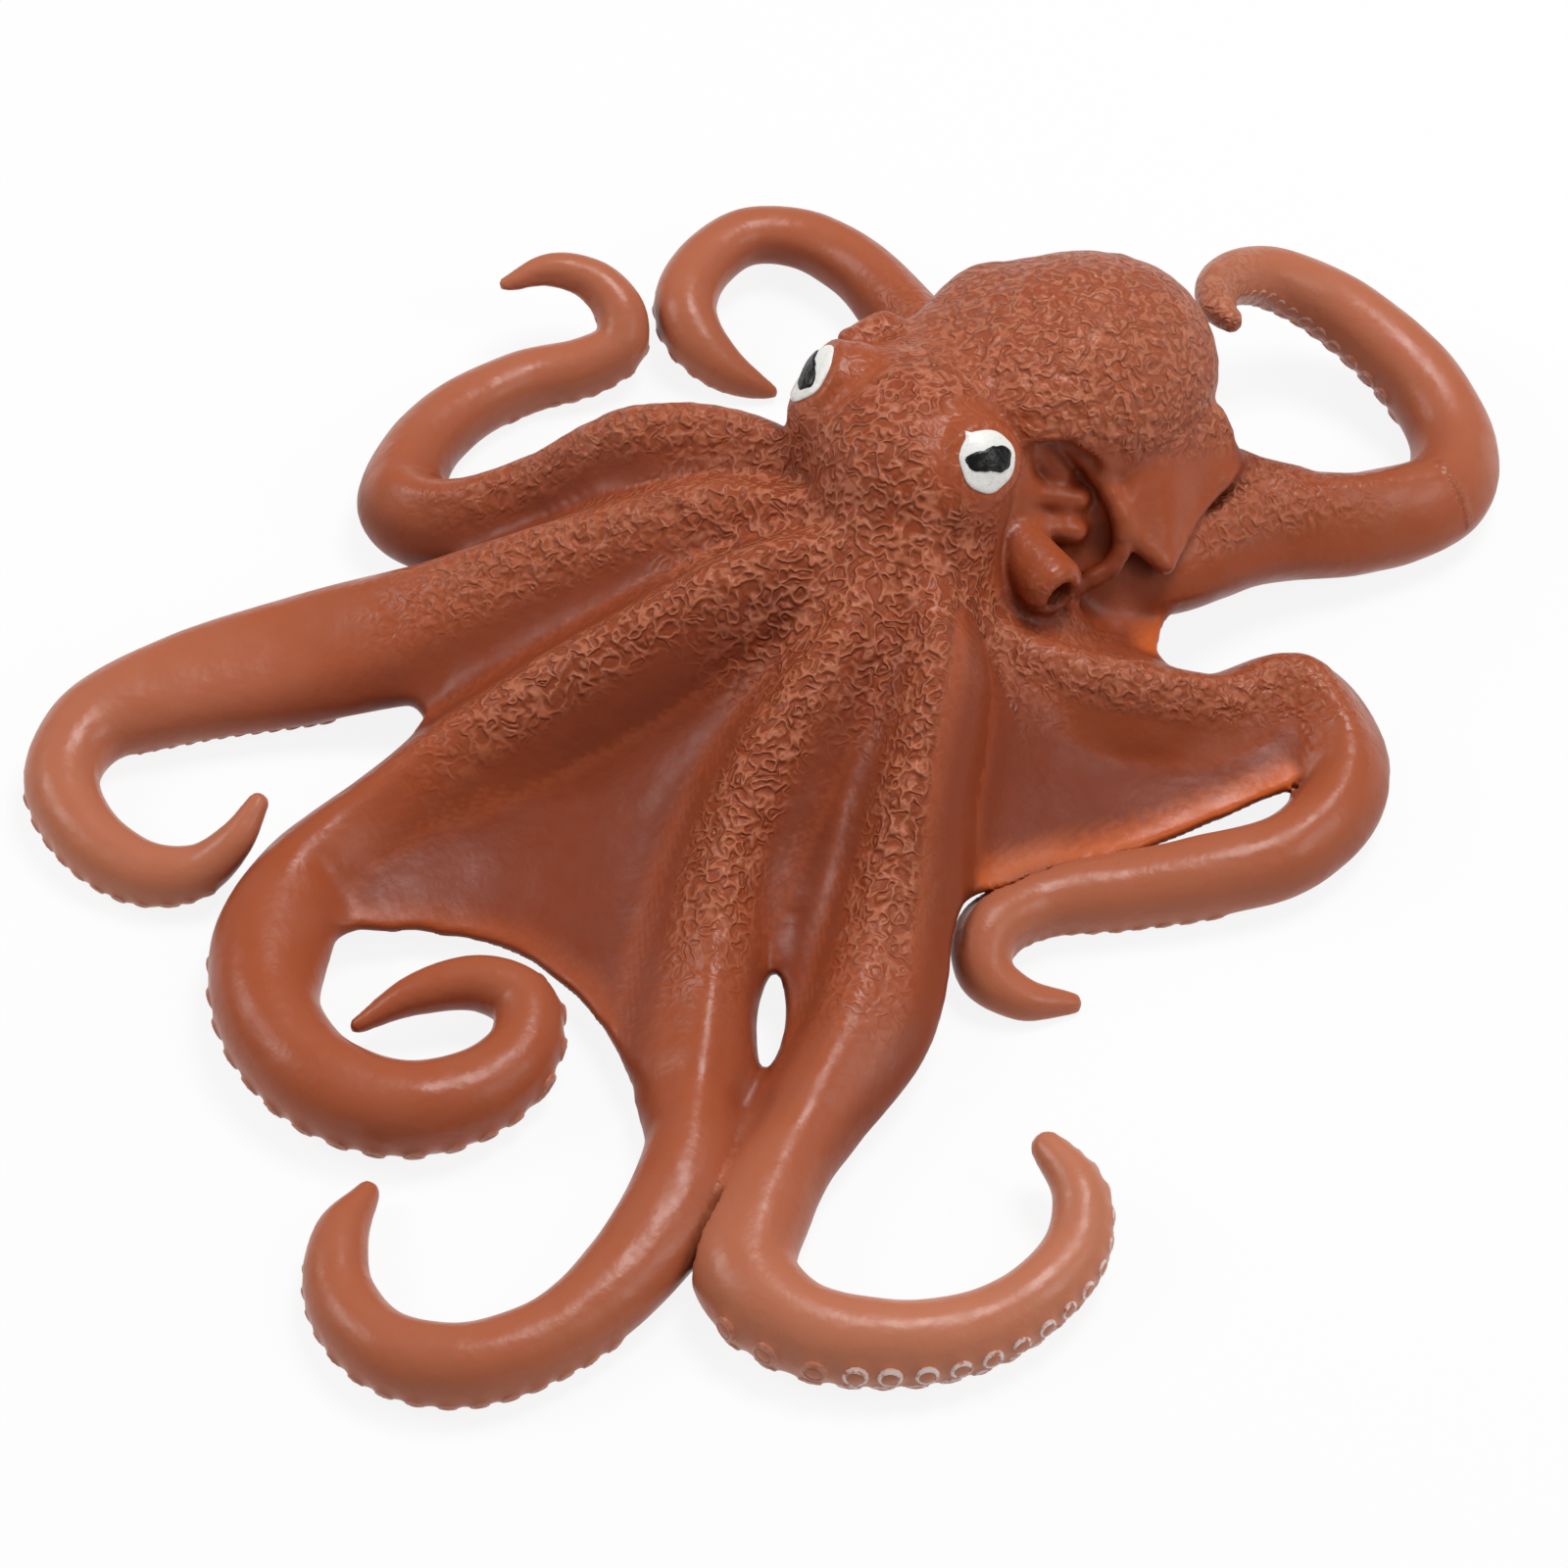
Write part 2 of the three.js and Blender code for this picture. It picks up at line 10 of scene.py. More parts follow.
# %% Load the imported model
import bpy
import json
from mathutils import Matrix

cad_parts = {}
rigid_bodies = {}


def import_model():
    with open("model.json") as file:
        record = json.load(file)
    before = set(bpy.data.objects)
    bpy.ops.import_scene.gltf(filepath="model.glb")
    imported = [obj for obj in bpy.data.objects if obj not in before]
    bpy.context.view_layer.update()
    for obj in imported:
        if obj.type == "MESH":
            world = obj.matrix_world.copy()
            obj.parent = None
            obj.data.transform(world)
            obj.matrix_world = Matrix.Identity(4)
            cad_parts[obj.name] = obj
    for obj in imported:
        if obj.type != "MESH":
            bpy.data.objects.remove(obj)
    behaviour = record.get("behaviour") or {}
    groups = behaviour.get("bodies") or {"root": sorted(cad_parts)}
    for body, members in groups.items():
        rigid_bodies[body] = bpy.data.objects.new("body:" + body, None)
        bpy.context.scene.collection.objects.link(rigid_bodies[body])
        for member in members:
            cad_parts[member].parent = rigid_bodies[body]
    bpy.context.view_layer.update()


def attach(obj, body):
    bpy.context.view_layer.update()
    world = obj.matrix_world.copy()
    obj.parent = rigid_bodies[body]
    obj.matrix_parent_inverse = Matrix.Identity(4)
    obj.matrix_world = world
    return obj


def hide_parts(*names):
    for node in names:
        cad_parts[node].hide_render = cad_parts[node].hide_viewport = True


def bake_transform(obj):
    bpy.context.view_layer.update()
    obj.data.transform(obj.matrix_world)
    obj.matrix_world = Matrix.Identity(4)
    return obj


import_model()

import json
import math

import bpy
import numpy as np
from mathutils import Vector, noise

MM = 0.001
scene = bpy.context.scene

# %% [markdown]
# ## The camera
#
# The photograph looks down at about 51 degrees with a long lens, so that the far arms are hardly
# smaller than the near ones. The camera aims at the middle of the figure, on the table.

# %% Camera
CAMERA_RISE = math.radians(51)
CAMERA_AWAY = 0.657

camera_data = bpy.data.cameras.new("photo_camera")
camera_data.lens = 120
camera = bpy.data.objects.new("photo_camera", camera_data)
scene.collection.objects.link(camera)
camera.location = CAMERA_AWAY * Vector((0, -math.cos(CAMERA_RISE), math.sin(CAMERA_RISE)))
camera.rotation_euler = (-camera.location).to_track_quat("-Z", "Y").to_euler()
scene.camera = camera
print("camera at", [round(v, 3) for v in camera.location])

# %% [markdown]
# ## The routes of the arms
#
# Each arm is a row of points in millimetres: x, y, radius, height of its underside, and in places a
# skirt, which widens it on its left-hand side, or on its right where it is negative. They follow the
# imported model, and a curve through them could be drawn by hand in the viewport. Numbers are kept here
# because the suckers, the wrinkles and the colours all need to know where along an arm they are.

# %% Arm routes
SOLE_DEPTH = 0.5  # how deep a lying arm is flattened
ARMS = {
    "back": (5, [
        (14, 27, 5, 12), (21, 44, 5.6, 3), (24, 60, 5.9, 1), (20.2, 69.2, 5.8, 0), (15.2, 78.2, 5.4, 0),
        (10.1, 85.3, 4.7, 1), (2.9, 90.3, 4.2, 2), (-4.7, 90.4, 3.9, 3), (-10.6, 85, 4.1, 3),
        (-13.2, 77.4, 4.2, 3), (-12, 72.7, 3.9, 2), (-7.9, 68.6, 2.9, 1), (-4.2, 66.9, 1.8, 1),
        (-1.6, 66.2, 0.9, 1)]),
    "back_left": (6, [
        (6, 24, 5, 21), (-4.3, 32, 5.6, 21.5), (-16.7, 35.2, 6.7, 17.8), (-30.2, 36.2, 6.8, 7.6),
        (-42.6, 37.1, 7, 1), (-49.6, 41.9, 6.2, 0), (-47.8, 52.5, 5.1, 0), (-42.4, 60.3, 4.5, 0),
        (-34.4, 66.2, 4.1, 0), (-26.8, 68, 3.9, 1), (-21.9, 70.3, 3.6, 3), (-21.8, 74, 3.3, 6),
        (-25.5, 77.5, 2.7, 9), (-31.3, 78.1, 2.1, 11), (-37.1, 75.5, 0.9, 12)]),
    "left": (4, [
        (4, 19, 5, 22), (-7.3, 22.3, 5.5, 20), (-24.6, 22.5, 6.4, 12, 2.5), (-45.9, 21, 6.8, 3, 6.8),
        (-62.2, 18.8, 6, 0, 7), (-77.1, 12.8, 5.5, 0, 4), (-87.2, 5.9, 5.1, 0, 0.8), (-90.1, -2.6, 4.7, 0),
        (-86, -11.6, 4.3, 0), (-79, -16.8, 4, 0), (-72.1, -17.6, 3.3, 2), (-67.5, -15.5, 2.4, 6),
        (-64.6, -11.6, 1.4, 9.5)]),
    "left_coil": (6, [
        (6, 12, 5, 23), (-2.4, 10, 5.6, 22), (-19.4, 4.6, 7, 12), (-36.4, -2, 7, 4), (-49.8, -10.2, 6.2, 1),
        (-59.2, -18.8, 6, 0, 1), (-63.4, -29.2, 6.1, 0, 2.6), (-62, -40.6, 6, 0, 0.6), (-55, -49.9, 5.9, 0),
        (-44.9, -53.6, 5.7, 0), (-35.8, -50.5, 5.2, 0), (-31.2, -45, 4.5, 1), (-31.3, -38.5, 4, 2),
        (-36.4, -35.8, 3.5, 3), (-44.2, -37.4, 2.5, 4), (-51.2, -41, 1, 4)]),
    "front_left": (6, [
        (11, 9, 5, 22), (8.4, 2.5, 5.5, 20), (-0.6, -9.5, 6.5, 11), (-6.5, -21.3, 6.2, 5, -0.6),
        (-8.5, -36.2, 5.4, 2, -2.6), (-10, -50.6, 5.4, 0, -2.6), (-12.2, -63.4, 5.4, 0, 1.8),
        (-18.2, -75.8, 5, 0, 1), (-26.7, -85, 4.7, 0), (-37, -88.9, 4.8, 0), (-46, -86.6, 4.6, 0),
        (-51.4, -78.9, 4.1, 0), (-51.7, -71.1, 3.3, 1), (-49, -64.4, 1.5, 2)]),
    "front_right": (6, [
        (17, 8, 5, 22), (18.8, -2.2, 5.5, 20), (16, -14.7, 6.2, 12), (12.4, -27.1, 5.9, 5, 3),
        (8.4, -42.3, 5.6, 2, 4.6), (3, -55.2, 5.6, 0, 1.2), (-2, -67.6, 5.6, 0, -1.4),
        (-4, -77, 5.6, 0, -1.2), (1.6, -84, 5.4, 0), (11.3, -86, 5, 0), (20.7, -84.6, 4.6, 0),
        (28.7, -80.2, 4.1, 1), (33.9, -73.4, 3.8, 2), (34.4, -66.6, 3.2, 4), (30.9, -61, 2, 6)]),
    "right_fold": (7, [
        (20, 9, 5, 14), (31.6, 5.2, 5.6, 10), (42.7, 3.8, 6.2, 6), (54, 5.2, 6.1, 2), (64.2, 9.2, 6.2, 1),
        (69.8, 1.6, 5.8, 0), (69, -7, 5.6, 0), (62.5, -14.6, 5.3, 0), (51.7, -18.3, 5.1, 0),
        (40.8, -20.3, 4.7, 0), (31, -22.5, 4.2, 1), (24.7, -27.7, 4, 2), (24.3, -32.4, 3.5, 1),
        (28.7, -35.2, 2.7, 0), (34.8, -35, 1.4, 0)]),
    "back_right": (6, [
        (22, 17, 5, 13), (35.8, 21.5, 5.7, 9, 2), (48.4, 26.4, 6.8, 6, 4), (60.2, 34.2, 7.2, 3, 3.6),
        (75.4, 39, 7.2, 0), (85.6, 44, 6.3, 0), (88, 52.3, 5.7, 0), (84.8, 61.4, 5.4, 2), (78.8, 68, 5, 5),
        (71.2, 72.3, 4.5, 9), (63, 72.2, 3.9, 14), (57, 66.6, 3.1, 19), (56, 60.4, 2.3, 22),
        (57.6, 56.4, 1.4, 24)]),
}
SLICES = 10  # straight pieces between two points of a route

class Arm:
    """One arm's route as a dense row of centres, radii and skirts, with the length run so far."""

    def __init__(self, flex, points):
        rows = [(x, y, radius + lift - SOLE_DEPTH, radius, *(skirt or [0]))
                for x, y, radius, lift, *skirt in points]
        self.route = np.array(rows, float)
        self.last = len(rows) - 1
        steps = np.linspace(0, self.last, self.last * SLICES + 1)
        self.rows = np.array([self.at(step) for step in steps])
        lengths = np.linalg.norm(np.diff(self.rows[:, :3], axis=0), axis=1)
        self.run = np.concatenate([[0], np.cumsum(lengths)])
        self.flex = self.run[flex * SLICES]
        self.hinge = self.rows[flex * SLICES, :3]

    def at(self, step):
        """Centre, radius and skirt at a fractional point of the route, on a centripetal spline."""
        low = min(int(step), self.last - 1)
        share = step - low
        b, c = self.route[low], self.route[low + 1]
        a = self.route[low - 1] if low else 2 * b - c
        d = self.route[low + 2] if low + 2 <= self.last else 2 * c - b
        before, here, after = (math.sqrt(np.linalg.norm((q - p)[:3])) for p, q in ((a, b), (b, c), (c, d)))
        leave = ((b - a) / before - (c - a) / (before + here) + (c - b) / here) * here
        reach = ((c - b) / here - (d - b) / (here + after) + (d - c) / after) * here
        squared, cubed = share ** 2, share ** 3
        return (b + leave * share + (3 * (c - b) - 2 * leave - reach) * squared
                + (2 * (b - c) + leave + reach) * cubed)

arms = {name: Arm(*entry) for name, entry in ARMS.items()}
print("arm lengths in mm:", {name: round(arm.run[-1]) for name, arm in arms.items()})

# %% [markdown]
# ## A block of clay
#
# The clay is a grid of numbers: each one is the distance to the nearest skin, negative inside. Two
# shapes are joined by taking the smaller distance, and a soft minimum fills the corner between them as
# a thumb would. Metaballs could do this too, but they give no say in each join, and a voxel remesh of
# overlapping tubes leaves sharp corners that then have to be smoothed away.

# %% The grid and its joins
CELL = 0.55  # mm between two neighbours in the grid
FAR = 9.0  # stands for any larger distance
LOW = np.array([-98.0, -98.0, -2.0])
HIGH = np.array([98.0, 98.0, 49.0])
COUNT = np.ceil((HIGH - LOW) / CELL).astype(int) + 1
AXES = [(LOW[i] + CELL * np.arange(COUNT[i])).astype(np.float32) for i in range(3)]

def room(low, high):
    """The part of the grid between two corners, with its x, y and z ready to be used together."""
    first = np.clip(np.floor((np.asarray(low) - LOW) / CELL).astype(int), 0, COUNT - 1)
    last = np.clip(np.ceil((np.asarray(high) - LOW) / CELL).astype(int) + 1, 1, COUNT)
    index = tuple(slice(a, b) for a, b in zip(first, last))
    x, y, z = (axis[part] for axis, part in zip(AXES, index))
    return index, x[:, None, None], y[None, :, None], z[None, None, :]

def join(a, b, soft):
    """The smaller of two distances, with the corner between them filled over a width of soft."""
    fill = np.maximum(soft - np.abs(a - b), 0)
    return np.minimum(a, b) - fill * fill / (4 * np.maximum(soft, 1e-3))

def carve(a, b, soft):
    """What is inside a and outside b."""
    return -join(-a, b, soft)

def smooth(low, high, value):
    """A smooth step from 0 to 1 while value goes from low to high."""
    share = np.clip((value - low) / (high - low), 0, 1)
    return share * share * (3 - 2 * share)

clay = np.full(COUNT, FAR, np.float32)
print("grid:", "x".join(str(n) for n in COUNT), "of", CELL, "mm")

# %% [markdown]
# ## Round shapes
#
# The head, the swellings of the eyes and the mantle begin as eggs, and everything long begins as a stick
# with a radius at each end.

# %% Eggs and sticks
def turned(heading):
    """The direction in plan at this many degrees from +X."""
    angle = math.radians(heading)
    return np.array([math.cos(angle), math.sin(angle)])

def egg(x, y, z, place, size, heading=0.0, fuller=0.0):
    """Distance to an egg with these full lengths, turned in plan, fuller towards its far end."""
    along = turned(heading)
    dx, dy, dz = x - place[0], y - place[1], z - place[2]
    u = dx * along[0] + dy * along[1]
    v = dy * along[0] - dx * along[1]
    swell = 1 + fuller * np.clip(2 * u / size[0], -1, 1)
    half = np.asarray(size) / 2
    a, b, c = u / half[0], v / (half[1] * swell), dz / (half[2] * swell)
    out = np.sqrt(a * a + b * b + c * c) + 1e-6
    slope = np.sqrt((a / half[0]) ** 2 + (b / half[1]) ** 2 + (c / half[2]) ** 2) + 1e-6
    return out * (out - 1) / slope

def stick(x, y, z, start, end, radius, end_radius):
    """Distance to a stick, the share along it, and the offset from its axis."""
    start, line = np.asarray(start, float), np.asarray(end, float) - np.asarray(start, float)
    dx, dy, dz = x - start[0], y - start[1], z - start[2]
    share = np.clip((dx * line[0] + dy * line[1] + dz * line[2]) / (line @ line), 0, 1)
    offset = (dx - share * line[0], dy - share * line[1], dz - share * line[2])
    away = np.sqrt(offset[0] ** 2 + offset[1] ** 2 + offset[2] ** 2)
    return away - (radius + share * (end_radius - radius)), share, offset

def press(low, high, shape, soft):
    """Joins a shape to the clay between two corners."""
    index, x, y, z = room(low, high)
    clay[index] = join(clay[index], shape(x, y, z).astype(np.float32), soft)

def rod(low, high, start, end, radius, end_radius, soft):
    """Joins a stick to the clay between two corners."""
    press(low, high, lambda x, y, z: stick(x, y, z, start, end, radius, end_radius)[0], soft)

def rod_near(start, end, radius, end_radius, soft, around):
    """Joins a stick to the clay within some distance of its ends."""
    low, high = np.minimum(start, end) - around, np.maximum(start, end) + around
    rod(low, high, start, end, radius, end_radius, soft)

def ahead_of(x, y, z, place, way):
    """How far each cell lies beyond a place, along a direction."""
    return (x - place[0]) * way[0] + (y - place[1]) * way[1] + (z - place[2]) * way[2]

print("middle of a stick of radius 2:", stick(0, 0, 0, (-5, 0, 0), (5, 0, 0), 2, 2)[0], "mm")

# %% [markdown]
# ## The webs
#
# A web is a thin sheet that spans two arms like a tent between its poles: it leaves each arm high up on its
# side and sags between them, more where the arms are farther apart. A bent plane could be fitted between
# two arms by hand. Here each sheet is drawn as threads from arm to arm, so that it follows its arms when
# they are moved. The threads are gathered into a height map in plan, and the distance to a sheet of some
# thickness over that map is added to the clay. The free edge is bowed in. How far a place is from that
# edge is kept, because light comes through the plastic there.

# %% Webs
WEBS = {  # its two arms, how many points of each route it runs along, how far its edge is bowed in
    "back_left": ("back", "back_left", 1.6, 2.2, 0.3),
    "left_back": ("back_left", "left", 3.2, 2.8, 0.2),
    "left": ("left", "left_coil", 3.45, 3.75, 0.1),
    "front_left": ("left_coil", "front_left", 6.0, 5.6, 0.22),
    "front": ("front_left", "front_right", 5.8, 5.8, 0.02),
    "front_right": ("front_right", "right_fold", 3.14, 5.4, 0),
    "right": ("right_fold", "back_right", 2.7, 2.6, 0.2),
    "back_right": ("back_right", "back", 2.4, 1.7, 0.3),
}
WEB_THICKNESS = 2.4
WEB_RISE = 0.45  # how high on an arm a web leaves it, in arm radii above the arm's middle
WEB_SAG = 0.2  # of the distance between the arms
WEB_SAG_MOST = 5.0
WEB_LOWEST = 1.3
WEB_HOLE = (-2.3, -41.0, 5.2, 18.6)  # place and full sizes in plan
WEB_EDGE = 12  # cells around a web in which its edge is rounded
WEB_GLOW = {"front_left": 0.3, "left": 0.6, "front": 0.0}  # how far light comes through, 1 if not given
WEB_RIM = 5.0  # how far in from its edge it is thinner and lets light through
WEB_THINNER = 0.35  # how much thinner it is at its edge
WEB_ROUND = 0.7  # radius that its edge is rounded to
WEB_SOFT = 3.0  # of its joins
WEB_BLUR = 6  # rounds of smoothing
WEB_THREADS = 200
THREAD_POINTS = 160
HOLE_SOFT = 1.2

def web_heights(first, second, first_end, second_end, bow):
    """The plan cells that a web covers and its height there."""
    total = np.zeros(COUNT[:2])
    hits = np.zeros(COUNT[:2])
    ways = np.linspace(0, 1, WEB_THREADS)
    across = np.linspace(0, 1, THREAD_POINTS)[:, None]
    middle = np.sin(math.pi * across)
    reach = ways * (1 - bow * middle)
    ends = []
    for arm, end in ((first, first_end), (second, second_end)):
        step = reach * end * SLICES
        index = np.arange(len(arm.rows))
        x, y, z, radius = (np.interp(step, index, arm.rows[:, i]) for i in range(4))
        ends.append(np.stack([x, y, z + WEB_RISE * radius], -1))
    span = ends[1] - ends[0]
    points = ends[0] + span * across[..., None]
    sag = np.minimum(WEB_SAG * np.linalg.norm(span, axis=-1), WEB_SAG_MOST) * middle
    points[..., 2] = np.maximum(points[..., 2] - sag, WEB_LOWEST)
    cells = np.round((points[..., :2] - LOW[:2]) / CELL).astype(int).reshape(-1, 2)
    np.add.at(total, (cells[:, 0], cells[:, 1]), points[..., 2].ravel())
    np.add.at(hits, (cells[:, 0], cells[:, 1]), 1)
    return hits > 0, total / np.maximum(hits, 1)

def blurred(values):
    """A map in which each cell has moved towards its four neighbours, several times over."""
    for _ in range(WEB_BLUR):
        values = (values + sum(np.roll(values, s, a) for s in (-1, 1) for a in (0, 1))) / 5
    return values

def web_sheet(first, second, first_end, second_end, bow, glow):
    """Joins one web to the clay and notes how its edge lets light through."""
    covered, height = web_heights(arms[first], arms[second], first_end, second_end, bow)
    where = np.argwhere(covered)
    low = np.maximum(where.min(0) - WEB_EDGE, 0)
    high = np.minimum(where.max(0) + WEB_EDGE + 1, COUNT[:2])
    part = (slice(low[0], high[0]), slice(low[1], high[1]))
    covered, height = covered[part], height[part]
    edge = np.where(covered, -WEB_EDGE, np.inf)
    inner = np.full(covered.shape, np.inf)
    level = np.where(covered, height, 0.0)
    for i in range(-WEB_EDGE, WEB_EDGE + 1):
        for j in range(-WEB_EDGE, WEB_EDGE + 1):
            far = math.hypot(i, j)
            if 0 < far <= WEB_EDGE:
                seen = np.roll(covered, (i, j), (0, 1))
                nearer = ~covered & seen & (far < edge)
                edge[nearer] = far
                level[nearer] = np.roll(height, (i, j), (0, 1))[nearer]
                inner[covered & ~seen & (far < inner)] = far
    edge = np.where(covered, -np.minimum(inner, WEB_EDGE), np.minimum(edge, WEB_EDGE)) * CELL
    level, edge = blurred(level), blurred(edge)
    slope = np.gradient(level, CELL)
    lean = 1 / np.sqrt(1 + slope[0] ** 2 + slope[1] ** 2)
    index = (*(slice(a, b) for a, b in zip(low, high)), slice(0, COUNT[2]))
    z = AXES[2][None, None, :]
    thick = WEB_THICKNESS / 2 * (1 - WEB_THINNER * smooth(-WEB_RIM, 0, edge))[..., None]
    out = np.broadcast_to((edge + WEB_ROUND)[..., None], (*edge.shape, COUNT[2]))
    over = np.abs(z - level[..., None]) * lean[..., None] - thick + WEB_ROUND
    sheet = (np.sqrt(np.maximum(out, 0) ** 2 + np.maximum(over, 0) ** 2)
             + np.minimum(np.maximum(out, over), 0) - WEB_ROUND)
    clay[index] = join(clay[index], np.minimum(sheet, FAR).astype(np.float32), WEB_SOFT)
    web_edge[part] = np.minimum(web_edge[part], np.abs(edge))
    web_glow[part] = np.maximum(web_glow[part], glow * (1 - smooth(0.5, WEB_RIM, np.abs(edge))))

print("webs to hang:", ", ".join(WEBS))

# %% Eight webs, and the hole in the front one
web_edge = np.full(COUNT[:2], WEB_EDGE * CELL)
web_glow = np.zeros(COUNT[:2])
for name, entry in WEBS.items():
    web_sheet(*entry, WEB_GLOW.get(name, 1.0))
hole_x, hole_y, hole_width, hole_length = WEB_HOLE
index, x, y, z = room((-9, -54, -2), (4, -28, 20))
hole = np.hypot((x - hole_x) / hole_width, (y - hole_y) / hole_length) * 2 - 1
hole = hole * hole_width / 2
clay[index] = carve(clay[index], np.broadcast_to(hole, clay[index].shape), HOLE_SOFT)
web_edge[index[:2]] = np.minimum(web_edge[index[:2]], np.maximum(hole[..., 0], 0))
print("webs:", len(WEBS))

# %% [markdown]
# ## The head, the crown and the mantle
#
# The head is an egg with a round swelling for each eye. Below it the crown gathers the arms, and behind it
# hangs the mantle, whose free edge opens into a pocket on the right. Separate meshes could be joined with
# booleans, but those leave hard corners, and in the clay each join has its own softness.

# %% Head, crown and eyes
HEAD = np.array([15.5, 26.6, 34.0])
HEAD_SIZE = (26, 23, 21)
HEAD_HEADING = 50
EYE_BULGE = 12.6
EYE_SPREAD = 18.6
EYE_RISE = 3.2
EYES = {  # side, then heading and rise of the gaze and roll of the pupil in degrees
    "left": (-1, 174, 33, 0),
    "right": (1, 305, 45, -17),
}
EYE_ROOT = np.array([-1.5, -2.0, -2.2])  # from the middle of a swelling to where it grows from
EYE_RIM = (4.5, 0.42)  # radius of the raised ring round the paint, and of its section
head_back = turned(HEAD_HEADING)
head_right = np.array([head_back[1], -head_back[0], 0])
eye_place = {name: HEAD + head_right * side * EYE_SPREAD / 2 + [0, 0, EYE_RISE]
             for name, (side, *_) in EYES.items()}

def eye_axes(name):
    """The gaze, the line along the pupil and the line across it."""
    around, rise, roll = (math.radians(angle) for angle in EYES[name][1:])
    gaze = np.array([math.cos(around) * math.cos(rise), math.sin(around) * math.cos(rise), math.sin(rise)])
    level = np.array([-math.sin(around), math.cos(around), 0])
    above = np.cross(gaze, level)
    along = level * math.cos(roll) + above * math.sin(roll)
    return gaze, along, above * math.cos(roll) - level * math.sin(roll)

def rim(x, y, z, place, axis, radius, tube):
    """Distance to a ring round an axis."""
    dx, dy, dz = x - place[0], y - place[1], z - place[2]
    ahead = ahead_of(x, y, z, place, axis)
    out = np.sqrt(np.maximum(dx * dx + dy * dy + dz * dz - ahead * ahead, 0))
    return np.sqrt((out - radius) ** 2 + ahead * ahead) - tube

rod((-8, -6, 4), (34, 40, 44), (12, 14, 19), (17, 21, 31), 15, 11, 3)  # crown
press((-4, 6, 18), (36, 48, 50), lambda x, y, z: egg(x, y, z, HEAD, HEAD_SIZE, HEAD_HEADING), 4)
rod((-2, 20, 16), (40, 62, 50), (14, 34, 32.5), (27, 48.2, 31.8), 8.2, 7.7, 4)  # neck on the left
rod((14, 36, 16), (48, 62, 50), (27, 48.2, 31.8), (35, 48.8, 32.6), 7.7, 7.7, 4)  # left side of the mantle
rod((2, 32, 30), (20, 50, 46), (8.5, 40.3, 38), (12.5, 43, 37.5), 1.9, 2.3, 2)  # knob behind the left eye
print("eyes at", {name: place.round(1).tolist() for name, place in eye_place.items()})

# %% [markdown]
# The mouth of the mantle is a pocket with a thin lip, a groove along the inside of the lip and three folds.
# A flap hangs down beside it, and a shoulder joins the flap to the arm below. They could be drawn with
# sculpting brushes, but each of them is a row of short sticks here, so that places and thicknesses are
# plain numbers that can be changed.

# %% Places of the mantle and its pocket
MANTLE = np.array([33.9, 40.0, 28.8])
MANTLE_SIZE = (45.4, 34, 32)
MANTLE_HEADING = 36
MANTLE_FULLER = 0.05  # how much fuller its far half is
POCKET = ((33.8, 19, 27.6), (16.4, 24, 21))  # middle and full lengths of the hollow
FOLD_RADII = (1.9, 1.7)
FOLDS = [((31.1, 27.3, 33.5), (34.1, 25.7, 29.8)), ((28.7, 22.9, 29.6), (36.4, 23.7, 27.2)),
         ((27.3, 20.2, 26.7), (36.2, 21.3, 24.0))]
LIP = [(31.0, 27.7, 34.0), (33.1, 28.2, 34.1), (35.3, 27.6, 33.3), (37.2, 26.6, 31.8), (39.0, 25.3, 30.0),
       (40.5, 23.9, 28.0), (41.7, 22.6, 26.0), (42.2, 21.1, 23.8), (42.0, 19.7, 21.7), (40.9, 18.2, 20.4),
       (38.9, 17.2, 19.8), (36.6, 15.9, 19.3)]
INSIDE = [(34.6, 29.2, 26.0), (36.2, 26.7, 22.7), (36.8, 24.2, 18.0)]  # solid behind the pocket
GROOVE = [  # hollow along the inside of the lip
    (34.0, 24.7, 33.1), (36.2, 23.3, 31.4), (37.8, 21.8, 29.2), (38.8, 20.4, 27.0), (39.0, 19.2, 24.8),
    (38.4, 18.3, 23.2), (37.0, 17.5, 22.2)]
GROOVE_RADIUS = 3.2
FLAP = [  # where it leaves the mantle and where its edge is
    ((44.0, 30.0, 29.0), (42.1, 22.1, 25.5)), ((44.5, 30.3, 28.6), (44.6, 21.1, 21.5)),
    ((45.5, 31.0, 28.4), (47.7, 19.9, 19.0)), ((47.0, 32.0, 28.2), (49.3, 23.2, 19.3)),
    ((49.5, 34.5, 27.5), (52.0, 28.5, 20.0)), ((52.0, 37.0, 26.0), (55.2, 32.4, 21.0)),
    ((53.5, 39.0, 25.0), (58.0, 36.1, 21.0))]
FLAP_RADII = (2.4, 0.9)  # where it leaves the mantle and at its edge
BAG_CUT = np.array([50.0, 24.0, 17.5])  # a place on the plane that cuts the bag off below
BAG_CUT_WAY = np.array([0.65, -0.1, -0.75])  # which way that plane faces
SHOULDER = [(52.5, 36.5, 23.0, 2.0), (57.5, 37.8, 15.2, 3.8), (64, 37.8, 10.4, 5.6)]  # places and radii
print("points along the lip:", len(LIP), "and along the flap:", len(FLAP))

# %% Mantle with its pocket
def mantle_bag(x, y, z):
    """An egg that is cut off below and hollowed out for the pocket."""
    bag = egg(x, y, z, MANTLE, MANTLE_SIZE, MANTLE_HEADING, MANTLE_FULLER)
    hollow = egg(x, y, z, *POCKET, MANTLE_HEADING)
    under = ahead_of(x, y, z, BAG_CUT, BAG_CUT_WAY)
    return carve(carve(bag, -under, 3), hollow, 0.8)

def edging(path, radius, soft):
    """Presses a thin round edge along a row of points."""
    for start, end in zip(path, path[1:]):
        rod_near(start, end, radius, radius, soft, radius + 4)

